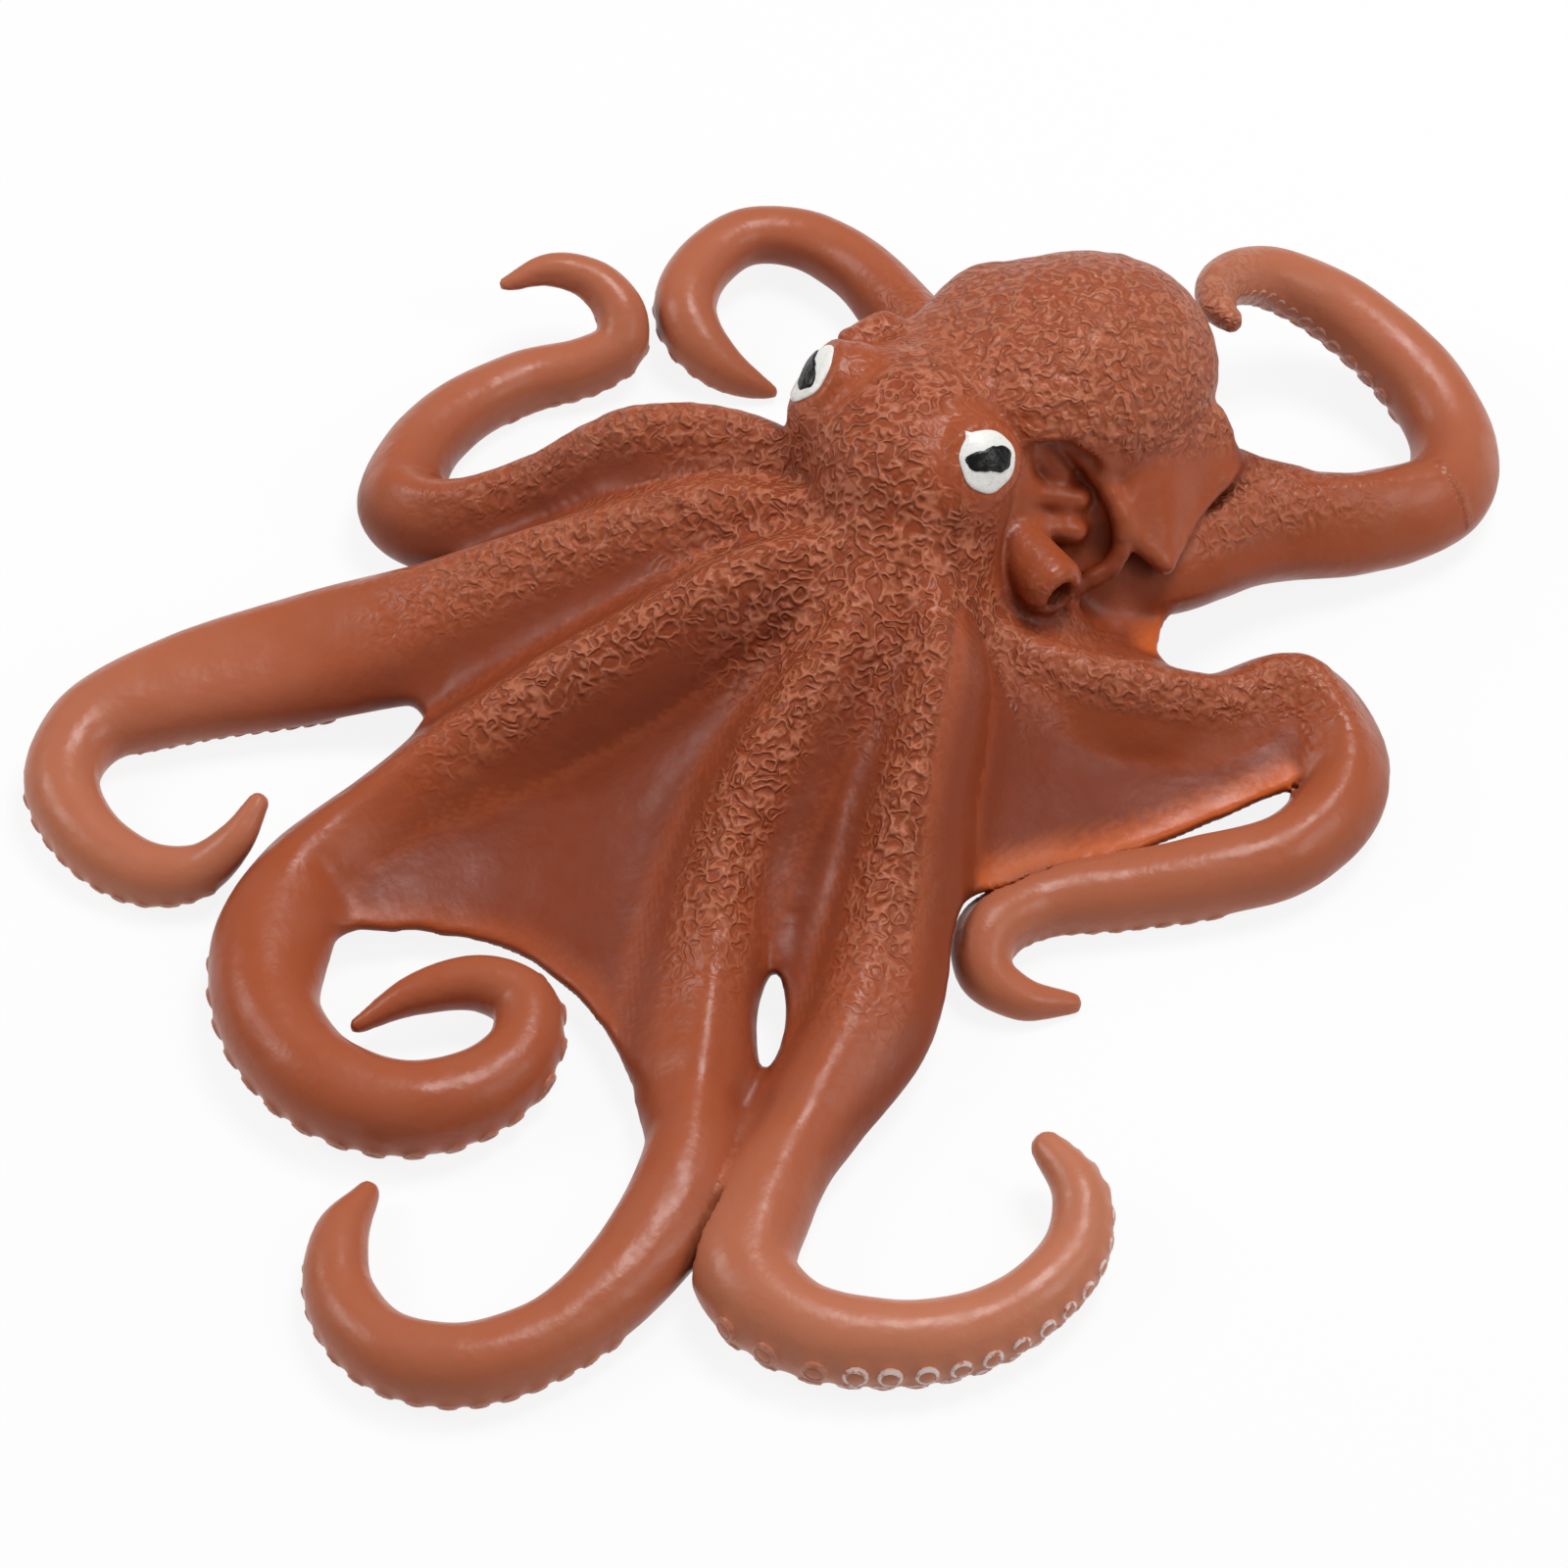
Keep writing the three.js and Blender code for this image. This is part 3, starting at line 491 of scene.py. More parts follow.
press((4, 8, 6), (66, 68, 50), mantle_bag, 2)
edging(INSIDE, 6.0, 2)
rod((24, 18, 8), (50, 42, 28), (32, 28.5, 17), (41, 31.5, 17), 4.6, 4.6, 2)  # below the mantle
rod((18, 10, 14), (42, 36, 42), (27, 26.5, 33), (28, 20.5, 23), 4.4, 4.2, 1.2)  # between head and pocket
for start, end in zip(GROOVE, GROOVE[1:]):
    index, x, y, z = room(np.minimum(start, end) - 8, np.maximum(start, end) + 8)
    hollow = stick(x, y, z, start, end, GROOVE_RADIUS, GROOVE_RADIUS)[0]
    clay[index] = carve(clay[index], hollow.astype(np.float32), 0.8)
ways = np.array(FLAP)
for step in np.arange(0, len(FLAP) - 0.99, 0.25):
    low = min(int(step), len(FLAP) - 2)
    start, end = ways[low] + (step - low) * (ways[low + 1] - ways[low])
    rod_near(start, end, *FLAP_RADII, 1.0, 6)
edging(LIP, 1.0, 1.2)
edging([end for _, end in FLAP], 0.95, 0.8)
for start, end in zip(SHOULDER, SHOULDER[1:]):
    rod_near(start[:3], end[:3], start[3], end[3], 2, 10)
for start, end in FOLDS:
    rod_near(start, end, *FOLD_RADII, 1.2, 6)
for name, place in eye_place.items():
    gaze = eye_axes(name)[0]
    rod(place - 13, place + 13, place + EYE_ROOT, place, EYE_BULGE / 2 + 0.2, EYE_BULGE / 2, 1.2)
    middle = place + gaze * math.sqrt((EYE_BULGE / 2) ** 2 - EYE_RIM[0] ** 2)
    press(place - 10, place + 10, lambda x, y, z: rim(x, y, z, middle, gaze, *EYE_RIM), 1.2)
print("mantle, folds and eyes pressed on")

# %% [markdown]
# ## The arms
#
# An arm is a chain of short sticks. A curve with a bevel would make a tube faster, but here each cell near
# an arm remembers which arm it belongs to and how far along that arm it lies. Later steps need to know: the
# free end of an arm moves, so it becomes a piece of its own, and wrinkles fade along an arm. Near the crown
# an arm's upper half is more like a roof than a tube, with a crest that the webs fall away from. The roots
# are joined softly, and so is the beginning of a free end to the webs beside it. Farther out an end is
# joined hard and kept clear of everything else, because a curling end must not grow on to its neighbour.

# %% Arms
ARM_SOFT = 4.0
UNDER_MANTLE = {"back": 1.2, "back_right": 1.2}  # softness of the roots that pass under the mantle
CUT_BACK = 8.0  # where the free end begins, before the point where it flexes
END_SOFT = 2.5  # of the join between a web and the beginning of a free end
CLEAR = 0.8  # least gap between a free end and everything else
CREST = 1.1  # power of a root's section above its middle, where 2 is round and 1 is a flat roof
CREST_ROUND = 0.22  # how far the top of that roof is rounded off, in arm radii
CREST_END = 15  # how far beyond the flex point the crest is gone
CREST_FADE = 40  # over which length it goes
arm_near = np.full(COUNT, FAR, np.float32)
arm_owner = np.full(COUNT, -1, np.int8)
arm_along = np.zeros(COUNT, np.float32)
end_near = np.full(COUNT, FAR, np.float32)

def arm_chain(arm):
    """Distance to a whole arm and the length run along it, for the part of the grid around it."""
    reach = (arm.rows[:, 3] + np.abs(arm.rows[:, 4])).max() + 6
    corner = arm.rows[:, :3].min(0) - reach
    index, *_ = room(corner, arm.rows[:, :3].max(0) + reach)
    start = np.array([part.start for part in index])
    shape = clay[index].shape
    near = np.full(shape, FAR, np.float32)
    along = np.zeros(shape, np.float32)
    for row, after, run, run_after in zip(arm.rows, arm.rows[1:], arm.run, arm.run[1:]):
        reach = max(row[3] + abs(row[4]), after[3] + abs(after[4])) + 5
        part, x, y, z = room(np.minimum(row, after)[:3] - reach, np.maximum(row, after)[:3] + reach)
        local = tuple(slice(p.start - s, p.stop - s) for p, s in zip(part, start))
        gap, share, offset = stick(x, y, z, row[:3], after[:3], row[3], after[3])
        ahead = (after[:2] - row[:2]) / np.linalg.norm(after[:2] - row[:2])
        side = offset[1] * ahead[0] - offset[0] * ahead[1]
        radius = row[3] + share * (after[3] - row[3])
        skirt = np.maximum((row[4] + share * (after[4] - row[4])) * np.sign(side), 0)
        across = np.abs(side) / (radius + skirt)
        up = np.sqrt(np.maximum((gap + radius) ** 2 - side ** 2, 0)) / radius
        roof = smooth(0.0, 1.0, (arm.flex + CREST_END - run) / CREST_FADE) * (offset[2] > 0)
        power = 2 - (2 - CREST) * roof
        blunt = CREST_ROUND * roof
        across = (np.hypot(across, blunt) - blunt) / (np.hypot(1, blunt) - blunt)
        gap = ((across ** power + up ** power) ** (1 / power) - 1) * radius
        better = gap < near[local]
        near[local] = np.where(better, gap, near[local])
        along[local] = np.where(better, run + share * (run_after - run), along[local])
    return index, near, along

print("free ends begin at", {name: round(arm.flex - CUT_BACK) for name, arm in arms.items()}, "mm")

# %% Roots and free ends
chains = {name: arm_chain(arm) for name, arm in arms.items()}
for number, (name, arm) in enumerate(arms.items()):
    index, near, along = chains[name]
    before = arm.flex - CUT_BACK - along
    root = np.where(before > 0, near, FAR).astype(np.float32)
    soft = UNDER_MANTLE.get(name, ARM_SOFT) * smooth(0, 8, before).astype(np.float32)
    clay[index] = join(clay[index], root, soft)
    closest = near < arm_near[index]
    arm_near[index] = np.where(closest, near, arm_near[index])
    arm_owner[index] = np.where(closest, number, arm_owner[index])
    arm_along[index] = np.where(closest, along, arm_along[index])
body = clay.copy()
for name, arm in arms.items():
    index, near, along = chains[name]
    beyond = along - arm.flex + CUT_BACK
    kept = np.where(beyond > CUT_BACK + 2, np.maximum(near, CLEAR - clay[index]), near)
    soft = END_SOFT * smooth(CUT_BACK + 2, CUT_BACK - 3, beyond).astype(np.float32)
    end = join(body[index], np.where(beyond >= 0, kept, FAR).astype(np.float32), soft)
    clay[index] = np.minimum(clay[index], end)
    end_near[index] = np.minimum(end_near[index], np.where(beyond >= -2, kept, FAR))
print("arms:", len(chains))

# %% [markdown]
# ## Suckers
#
# The undersides of the free ends turn outwards in the curls, so that a row of suckers shows along the
# edge. A sucker could be a dent in the skin, but the grid is too coarse for a crisp ring. So each one gets
# a round pad in the clay now and a small turned cup of its own after the skin is drawn.

# %% Where the suckers sit
SUCKERS = {  # side of travel, degrees below level, first and last point of the route, size, step in radii
    "back": [("right", 24, 7.4, 12.8, 0.29, 2.3), ("right", 56, 7.2, 12.4, 0.27, 2.3)],
    "back_left": [("right", 34, 7.6, 10.6, 0.26, 2.3), ("left", 24, 11.0, 14.0, 0.28, 2.3)],
    "left": [("right", 22, 5.6, 10.1, 0.27, 2.3), ("right", 54, 5.4, 9.7, 0.25, 2.3),
             ("left", 30, 3.9, 5.7, 0.2, 2.1)],
    "left_coil": [("right", 22, 6.2, 10.6, 0.27, 2.3), ("right", 12, 10.7, 14.6, 0.36, 2.2),
                  ("right", 54, 6.0, 13.2, 0.25, 2.3)],
    "front_left": [("left", 22, 7.6, 12.9, 0.27, 2.3), ("left", 54, 7.4, 12.4, 0.25, 2.3)],
    "front_right": [("right", -4, 7.5, 13.9, 0.32, 2.25), ("right", 28, 7.5, 13.8, 0.3, 2.3)],
    "right_fold": [("left", 34, 8.0, 13.4, 0.26, 2.3)],
    "back_right": [("left", 12, 7.3, 12.9, 0.29, 2.4), ("left", 46, 7.0, 12.8, 0.28, 2.4)],
}
NUDGE = 0.02  # of a step along a route, to find which way it goes
CUP_SUNK = 0.35  # how deep a cup sits, in cup radii, as the next two are
PAD_SUNK = 0.45  # how much deeper the middle of its pad sits
PAD_RADIUS = 1.2

def sucker_row(arm, side, below, first, last, size, step):
    """Places, outward directions, radii and steps along the route of one row of suckers."""
    found = []
    angle = math.radians(-below)
    way = first
    while way < last:
        x, y, z, radius, skirt = arm.at(way)
        ahead = arm.at(min(way + NUDGE, arm.last))[:3] - arm.at(way - NUDGE)[:3]
        speed = np.linalg.norm(ahead) / (2 * NUDGE)
        ahead = ahead / np.linalg.norm(ahead)
        left = np.array([-ahead[1], ahead[0], 0]) / math.hypot(ahead[0], ahead[1])
        above = np.cross(ahead, left)
        hand = left if side == "left" else -left
        wide = max(skirt if side == "left" else -skirt, 0)
        out = hand * math.cos(angle) + above * math.sin(angle)
        cup = size * radius
        place = np.array([x, y, z]) + out * (radius - CUP_SUNK * cup) + hand * wide * math.cos(angle)
        place[2] = max(place[2], PAD_RADIUS * cup)
        found.append((place, out, cup, way))
        way += step * cup / speed
    return found

suckers = {name: [cup for row in rows for cup in sucker_row(arms[name], *row)]
           for name, rows in SUCKERS.items()}
for cups in suckers.values():
    for place, out, cup, _ in cups:
        middle = place - out * cup * PAD_SUNK
        reach, pad = 3 * cup + 1, PAD_RADIUS * cup
        rod(middle - reach, middle + reach, middle, middle + out * 0.01, pad, pad, 0.7)
print("suckers:", {name: len(cups) for name, cups in suckers.items()})

# %% [markdown]
# ## The siphon
#
# A short finger of a tube lies against the body under the right eye. A turned tube could be stuck on as a
# piece of its own, but on the toy it is moulded with the rest. So it is a stick cut off square at its mouth,
# with a bore. It meets the body in a sharp groove, so its join is hardly softened.

# %% Siphon
SIPHON_MOUTH = np.array([34.3, 10.6, 23.6])
SIPHON_WAY = np.array([0.598, -0.797, -0.066])
SIPHON_LENGTH = 10.5
SIPHON_RADII = (4.0, 4.2)  # at its root and at its mouth
SIPHON_BORE = (2.0, 1.5)  # radii at the mouth and at the bottom
SIPHON_BORE_DEPTH = 6
siphon_back = SIPHON_MOUTH - SIPHON_WAY * SIPHON_LENGTH

def siphon_tube(x, y, z):
    """A stick that is cut off at its mouth and bored."""
    tube = stick(x, y, z, siphon_back, SIPHON_MOUTH, *SIPHON_RADII)[0]
    blunt = carve(tube, -ahead_of(x, y, z, SIPHON_MOUTH, SIPHON_WAY), 2.4)
    bottom = SIPHON_MOUTH - SIPHON_WAY * SIPHON_BORE_DEPTH
    bore = stick(x, y, z, SIPHON_MOUTH + SIPHON_WAY, bottom, *SIPHON_BORE)[0]
    return carve(blunt, bore, 0.8)

rod((8, 2, 4), (44, 30, 34), (22, 16, 20), (32.5, 12.5, 14), 7, 5.6, 3)  # swelling below it
press((18, 2, 10), (44, 28, 40), siphon_tube, 0.5)
*_, z = room(LOW, HIGH)
clay = carve(clay, np.broadcast_to(z, clay.shape).astype(np.float32), 0.5)
print("siphon pressed on, soles flattened")

# %% [markdown]
# ## Drawing the skin
#
# A surface net puts one point in every cell that the skin passes through and a four-sided face across
# every grid edge that it cuts. Marching cubes would give thin triangles, and this gives even faces,
# which smooth and bend well. A few rounds of smoothing then take the grid's steps away.

# %% Surface net
def surface_net(field):
    """Points in mm and four-sided faces, facing out."""
    inside = field < 0
    corners = [(i, j, k) for i in (0, 1) for j in (0, 1) for k in (0, 1)]
    size = np.array(field.shape) - 1
    part = {c: tuple(slice(o, o + n) for o, n in zip(c, size)) for c in corners}
    count = sum(inside[part[c]].astype(np.uint8) for c in corners)
    cells = np.argwhere((count > 0) & (count < 8))
    number = np.full(size, -1, np.int32)
    number[tuple(cells.T)] = np.arange(len(cells))
    values = {c: field[tuple((cells + c).T)] for c in corners}
    total = np.zeros((len(cells), 3))
    hits = np.zeros(len(cells))
    for start in corners:
        for axis in range(3):
            if start[axis] == 0:
                end = tuple(int(o or i == axis) for i, o in enumerate(start))
                a, b = values[start], values[end]
                cut = (a < 0) != (b < 0)
                share = a[cut] / (a[cut] - b[cut])
                total[cut] += np.array(start) + share[:, None] * (np.array(end) - start)
                hits[cut] += 1
    points = LOW + CELL * (cells + total / hits[:, None])
    faces = []
    for axis in range(3):
        ahead = np.eye(3, dtype=int)[axis]
        first = inside[tuple(slice(1, n) if i != axis else slice(0, n) for i, n in enumerate(size))]
        second = inside[tuple(slice(1, n) if i != axis else slice(1, n + 1) for i, n in enumerate(size))]
        edges = np.argwhere(first != second)
        leaving = first[tuple(edges.T)]
        edges = edges + (1 - ahead)
        b, c = np.eye(3, dtype=int)[(axis + 1) % 3], np.eye(3, dtype=int)[(axis + 2) % 3]
        ring = np.stack([number[tuple((edges - o).T)] for o in (b + c, c, 0 * b, b)], 1)
        faces.append(np.where(leaving[:, None], ring, ring[:, ::-1]))
    return points, np.concatenate(faces)

def neighbour_middles(faces, count):
    """A function that finds the middle of every point's neighbours."""
    start, end = np.concatenate([faces[:, [i, (i + 1) % 4]] for i in range(4)]).T
    valence = np.bincount(start, minlength=count).astype(float)

    def middles(points):
        total = [np.bincount(start, points[end, i], count) for i in range(3)]
        return np.stack(total, 1) / valence[:, None]

    return middles

def relax(points, faces, rounds):
    """Moves each point towards its neighbours' middle and then a little more than that back again."""
    middles = neighbour_middles(faces, len(points))
    for _ in range(rounds):
        for amount in (0.5, -0.52):
            points = points + amount * (middles(points) - points)
    return points

skin_points, skin_faces = surface_net(clay)
skin_points = relax(skin_points, skin_faces, 4)
print("skin:", len(skin_points), "points,", len(skin_faces), "faces")

# %% [markdown]
# ## Reading the clay
#
# The grid still knows how far every place is from the skin, so it can also say which way the skin faces,
# how deep a crease is and how thin a web is. Those are kept on the points for the finish: creases get
# painted shade, and thin edges a painted glow where light comes through. Painting them by hand would give
# the same, but not each time.

# %% Directions, creases and thin places
def sample(points, field):
    """The grid's value at any point, from the eight corners around it."""
    place = np.clip((points - LOW) / CELL, 0, COUNT - 1.001)
    low = place.astype(int)
    share = place - low
    value = np.zeros(len(points))
    for corner in np.ndindex(2, 2, 2):
        weight = np.prod(np.where(corner, share, 1 - share), axis=1)
        value += weight * field[tuple((low + corner).T)]
    return value

def skin_normals(points):
    """Which way the skin faces, from the slope of the clay."""
    reach = 0.6
    steps = np.eye(3) * reach
    slope = np.stack([sample(points + s, clay) - sample(points - s, clay) for s in steps], 1)
    return slope / np.maximum(np.linalg.norm(slope, axis=1, keepdims=True), 1e-6)

normals = skin_normals(skin_points)
# crease: how far the clay closes in round a point, which the finish paints on as shade
crease = sum(np.clip(1 - sample(skin_points + normals * d, clay) / d, 0, 1.5) * w
             for d, w in ((1.2, 0.3), (2.4, 0.35), (4.5, 0.35)))
cell = tuple(np.clip(np.round((skin_points - LOW) / CELL).astype(int), 0, COUNT - 1).T)
# thin: where light comes through a web's edge, which the finish paints on as an orange glow
thin = smooth(-0.5, 0.7, sample(skin_points - normals * 3.0, clay)) * web_glow[cell[:2]]
thin *= 1 - smooth(16, 18, skin_points[:, 2])  # the free edges of the webs lie low
owner, along, near = arm_owner[cell], arm_along[cell], arm_near[cell]
end_gap = sample(skin_points, end_near)
crease *= 1 - 0.6 * smooth(1.5, 0, end_gap)  # a free end is not darkened by another arm close beside it
print("crease up to", round(crease.max(), 2), "and", int(thin.sum()), "thin points")

# %% [markdown]
# ## Wrinkles
#
# The head, the mantle and the ridges of the arms are covered with worm-like wrinkles, while the webs and
# the free ends are smooth. The finest relief is left to the finish, and here only its strength is set for
# each point: full near the head and along the ridges, fading half-way down each arm. The mantle and some
# of the ridges have a finer grain. The strength could be painted on by hand, but a formula gives the same
# each time.

# %% Ridges, flanks and tips
PALE_ENDS = {"back": 0.55, "back_left": 0.65, "left": 0.75, "left_coil": 0.2, "front_left": 0.45,
             "front_right": 1.0, "right_fold": 0.55, "back_right": 0.75}
FLANK_SHADE = {"back_right": 0.3, "right_fold": 0.5}  # how dark a flank is, 1 if not given
RIDGE_FADE = (36, 66)  # mm along an arm between which its ridge turns smooth
FLANK_FADE = (60, 100)  # mm along an arm between which its flanks lose their shade
FLAP_MIDDLE = (49, 28, 23)
height = skin_points[:, 2]
ridge, tip, flank = np.zeros((3, len(skin_points)))

def away_from(place):
    """How far each point of the skin is from a place."""
    return np.linalg.norm(skin_points - place, axis=1)

for number, (name, arm) in enumerate(arms.items()):
    mine = (owner == number) & (near < 1.5)
    run = along[mine]
    level, radius = (np.interp(run, arm.run, arm.rows[:, i]) for i in (2, 3))
    top = smooth(0.3, 0.75, (height[mine] - level) / radius)
    flank[mine] = (1 - top) * (1 - smooth(*FLANK_FADE, run)) * FLANK_SHADE.get(name, 1.0)
    ridge[mine] = top * (1 - smooth(*RIDGE_FADE, run))
    tip[mine] = PALE_ENDS[name] * smooth(0.28, 0.8, run / arm.run[-1])
# valley marks the webs low between the arms and the arms' shaded flanks near the crown, which the finish
# darkens as painted shade
valley = np.maximum(smooth(0.3, 3.5, near) * (height < 24), 0.8 * flank) * (1 - thin)
valley *= smooth(9, 13, away_from(FLAP_MIDDLE))
print("points on ridges:", int((ridge > 0.5).sum()), "in valleys:", int((valley > 0.5).sum()))

# %% Wrinkles and grain
CROWN_TOP = (14, 20, 30)
CROWN_FADE = (20, 36)  # mm from there between which the wrinkles fade
POCKET_MOUTH = (35, 20, 26)
EYE_FADE = (7.2, 9.0)  # mm from the middle of an eye between which the wrinkles begin
arm_names = list(arms)
from_crown = np.linalg.norm((skin_points - CROWN_TOP) * [1, 1, 0.8], axis=1)
wrinkle = np.maximum(ridge, 1 - smooth(*CROWN_FADE, from_crown))
mantle_way = turned(MANTLE_HEADING)
behind = (skin_points[:, :2] - MANTLE[:2]) @ mantle_way
beside = (skin_points[:, :2] - MANTLE[:2]) @ np.array([-mantle_way[1], mantle_way[0]])
on_mantle = smooth(-19, -9, behind) * smooth(20, 27, height) * (np.abs(beside) < 24) * (near > -2)
smooth_flap = smooth(0, -6, beside) * smooth(2.5, -2.5, height + 0.5 * behind - 32)
in_pocket = 1 - smooth(10, 13, away_from(POCKET_MOUTH))
grain = on_mantle * (1 - smooth_flap) * (1 - in_pocket)
wrinkle = wrinkle * (1 - on_mantle)
wrinkle *= np.where(owner == arm_names.index("back_right"), smooth(50, 56, skin_points[:, 0]), 1)
for start, end in zip(SHOULDER, SHOULDER[1:]):
    gap = stick(*skin_points.T, start[:3], end[:3], start[3], end[3])[0]
    on_shoulder = (1 - smooth(0.2, 1.0, np.abs(gap))) * (height > 12)
    wrinkle = np.maximum(wrinkle, on_shoulder * (1 - grain))
for place in eye_place.values():
    near_eye = 1 - smooth(*EYE_FADE, away_from(place))
    wrinkle *= 1 - near_eye
    grain = np.maximum(grain, 0.25 * near_eye)
print("points on the mantle:", int((on_mantle > 0.5).sum()))

# %% [markdown]
# Fine lines run down the front right arm and across two other arms, where halves of the mould met. Beyond
# the first of them that arm is nearly smooth. The lines are only marked here, and the finish raises them.

# %% Mould seams and finer ridges
SEAMS = [[(21.8, 15.5), (20.7, 5.3), (19.2, -4.3), (17.3, -13.8), (16, -22.7), (14.7, -32.8)],
         [(-18.4, 26.4), (-12.2, 21.3), (-4.8, 16.3)], [(84.8, 43.2), (87.8, 39.8), (89.6, 36.6)]]
FINE_RIDGES = {"back_left": 0.7, "left": 0.55, "back": 0.5,
               "right_fold": 0.6, "back_right": 0.4}  # how far a ridge has the finer grain, 0 if not given
in_plan = (*skin_points.T[:2], np.zeros(len(skin_points)))
from_seam = np.full(len(skin_points), 99.0)
for path in SEAMS:
    for start, end in zip(path, path[1:]):
        from_seam = np.minimum(from_seam, stick(*in_plan, (*start, 0), (*end, 0), 0, 0)[0])
seam = (1 - smooth(0, 0.9, from_seam)) * (normals[:, 2] > 0)
front_seam = np.array(SEAMS[0])
beyond_seam = skin_points[:, 0] - np.interp(-skin_points[:, 1], -front_seam[:, 1], front_seam[:, 0])
on_front = (owner == arm_names.index("front_right")) * (skin_points[:, 1] < 5)
wrinkle *= 1 - 0.85 * smooth(0.2, 1.2, beyond_seam) * on_front
finer = np.array([FINE_RIDGES.get(name, 0.0) for name in arm_names])[owner] * (owner >= 0)
finer = finer * smooth(14, 30, from_crown)
grain = np.maximum(grain, finer * wrinkle)
wrinkle = wrinkle * (1 - finer)
from_siphon = stick(*skin_points.T, siphon_back, SIPHON_MOUTH + SIPHON_WAY * 3, 0, 0)[0]
wrinkle *= smooth(5, 8, from_siphon) * (1 - in_pocket)
grain = np.maximum(grain, 0.1 * (1 - smooth(4.6, 5.4, from_siphon)))
print("wrinkled points:", int((wrinkle > 0.5).sum()), "grained points:", int((grain > 0.5).sum()))

# %% [markdown]
# Where the skin is smooth, a thumb goes over it once more: points in the valleys move towards the middle of
# their neighbours, which takes the last steps of the grid away. Then a slight unevenness is pressed into
# the points, so that the outline is not too clean.

# %% Uneven outline
FINE_LUMPS = (0.16, 1.9)  # height and size in mm, where it is wrinkled or grained
BROAD_LUMPS = (0.09, 5.0)  # the same, everywhere
THUMB_ROUNDS = 60
LIP_MIDDLE = (36, 19, 24)

def lumps(points, high, size):
    """Soft noise at each point, with lumps of this height and size in mm."""
    return high * np.array([noise.noise(Vector(p)) for p in points / size])

def thumb(points, faces, share, rounds):
    """Smooths points towards the middle of their neighbours, each one as far as its share allows."""
    middles = neighbour_middles(faces, len(points))
    for _ in range(rounds):
        points = points + 0.5 * share[:, None] * (middles(points) - points)
    return points

rough = np.maximum(wrinkle, grain)
calm = valley * (1 - rough) * smooth(2, 5, web_edge[cell[:2]]) * smooth(9, 14, away_from(LIP_MIDDLE))
skin_points = thumb(skin_points, skin_faces, calm, THUMB_ROUNDS)
uneven = lumps(skin_points, *FINE_LUMPS) * rough + lumps(skin_points + 50, *BROAD_LUMPS)
skin_points = skin_points + normals * uneven[:, None]
print("unevenness up to", round(float(np.abs(uneven).max()), 2), "mm")

# %% [markdown]
# ## Writing finishes
#
# A finish is a tree of nodes. Wiring it by hand in the editor is quick for a few nodes, but a tree of
# formulas is easier to read as formulas. A Wire stands for one output, and adding or multiplying wires
# adds the Math nodes. Every other node comes from one method, which takes its type, its settings and
# what goes into its sockets.

# %% Wires and finishes
class Wire:
    """One output of a node, which can be used in sums and products."""

    def __init__(self, finish, socket):
        self.finish, self.socket = finish, socket

    def math(self, operation, first, second):
        return self.finish.node("ShaderNodeMath", {"operation": operation}, {0: first, 1: second})

    def __add__(self, other):
        return self.math("ADD", self, other)

    def __radd__(self, other):
        return self.math("ADD", other, self)

    def __sub__(self, other):
        return self.math("SUBTRACT", self, other)

    def __rsub__(self, other):
        return self.math("SUBTRACT", other, self)

    def __mul__(self, other):
        return self.math("MULTIPLY", self, other)

    def __rmul__(self, other):
        return self.math("MULTIPLY", other, self)

class Finish:
    """A material and the nodes that make it."""

    def __init__(self, name):
        self.material = bpy.data.materials.new(name)
        self.material.use_nodes = True
        self.tree = self.material.node_tree
        self.tree.nodes.clear()

    def node(self, kind, settings, sockets, output=0):
        """Adds a node, sets it up, feeds its sockets and gives one of its outputs."""
        node = self.tree.nodes.new(kind)
        for key, value in settings.items():
            setattr(node, key, value)
        for key, value in sockets.items():
            if isinstance(value, Wire):
                self.tree.links.new(value.socket, node.inputs[key])
            else:
                node.inputs[key].default_value = value
        return Wire(self, node.outputs[output]) if node.outputs else None

    def point(self, name, output="Fac"):
        """A value that is kept on the points of the mesh."""
        return self.node("ShaderNodeAttribute", {"attribute_name": name}, {}, output)

    def band(self, value, low, high, start=0.0, end=1.0):
        """A smooth step from start to end while value goes from low to high."""
        return self.node("ShaderNodeMapRange", {"interpolation_type": "SMOOTHSTEP"},
                         {0: value, 1: low, 2: high, 3: start, 4: end})

    def speckle(self, place, scale, detail, output="Fac"):
        """Soft noise."""
        sockets = {"Vector": place, "Scale": scale, "Detail": detail}
        return self.node("ShaderNodeTexNoise", {}, sockets, output)

    def tint(self, first, second, share):
        """One colour going over into another."""
        return self.node("ShaderNodeMix", {"data_type": "RGBA"}, {0: share, 6: first, 7: second}, 2)

    def surface(self, sockets):
        """Ends the tree in a principled shader."""
        shader = self.node("ShaderNodeBsdfPrincipled", {}, sockets)
        self.node("ShaderNodeOutputMaterial", {}, {"Surface": shader})
        return self.material

print("finishes can be written")

# %% [markdown]
# ## The skin's finish
#
# The plastic is a reddish brown with a soft gloss. Its relief is worm-like: ridges that wind round small
# pits. The lines along which soft noise passes even steps of its value wind in the same way, as lines of
# height do on a map, so round cords are raised along them, higher in some places than in others. The finer
# grain has smaller cords and pebbles. An image of the relief could do this, but it would have to be
# unwrapped round every arm. Light and shade are also painted into the colour: the tops of the cords get a
# painted highlight and the pits between them painted shade, creases and valleys get painted shade, and thin
# edges get a painted orange glow where light comes through. The free ends are paler. Every pattern is laid
# out by the place that a point has at rest, in millimetres, so that it stays on the skin when an arm bends.

# %% Skin finish
BROWN = (0.36, 0.072, 0.022, 1)
# DEEP is the dark brown of the painted shade, and of a little of the mottling
DEEP = (0.165, 0.024, 0.006, 1)
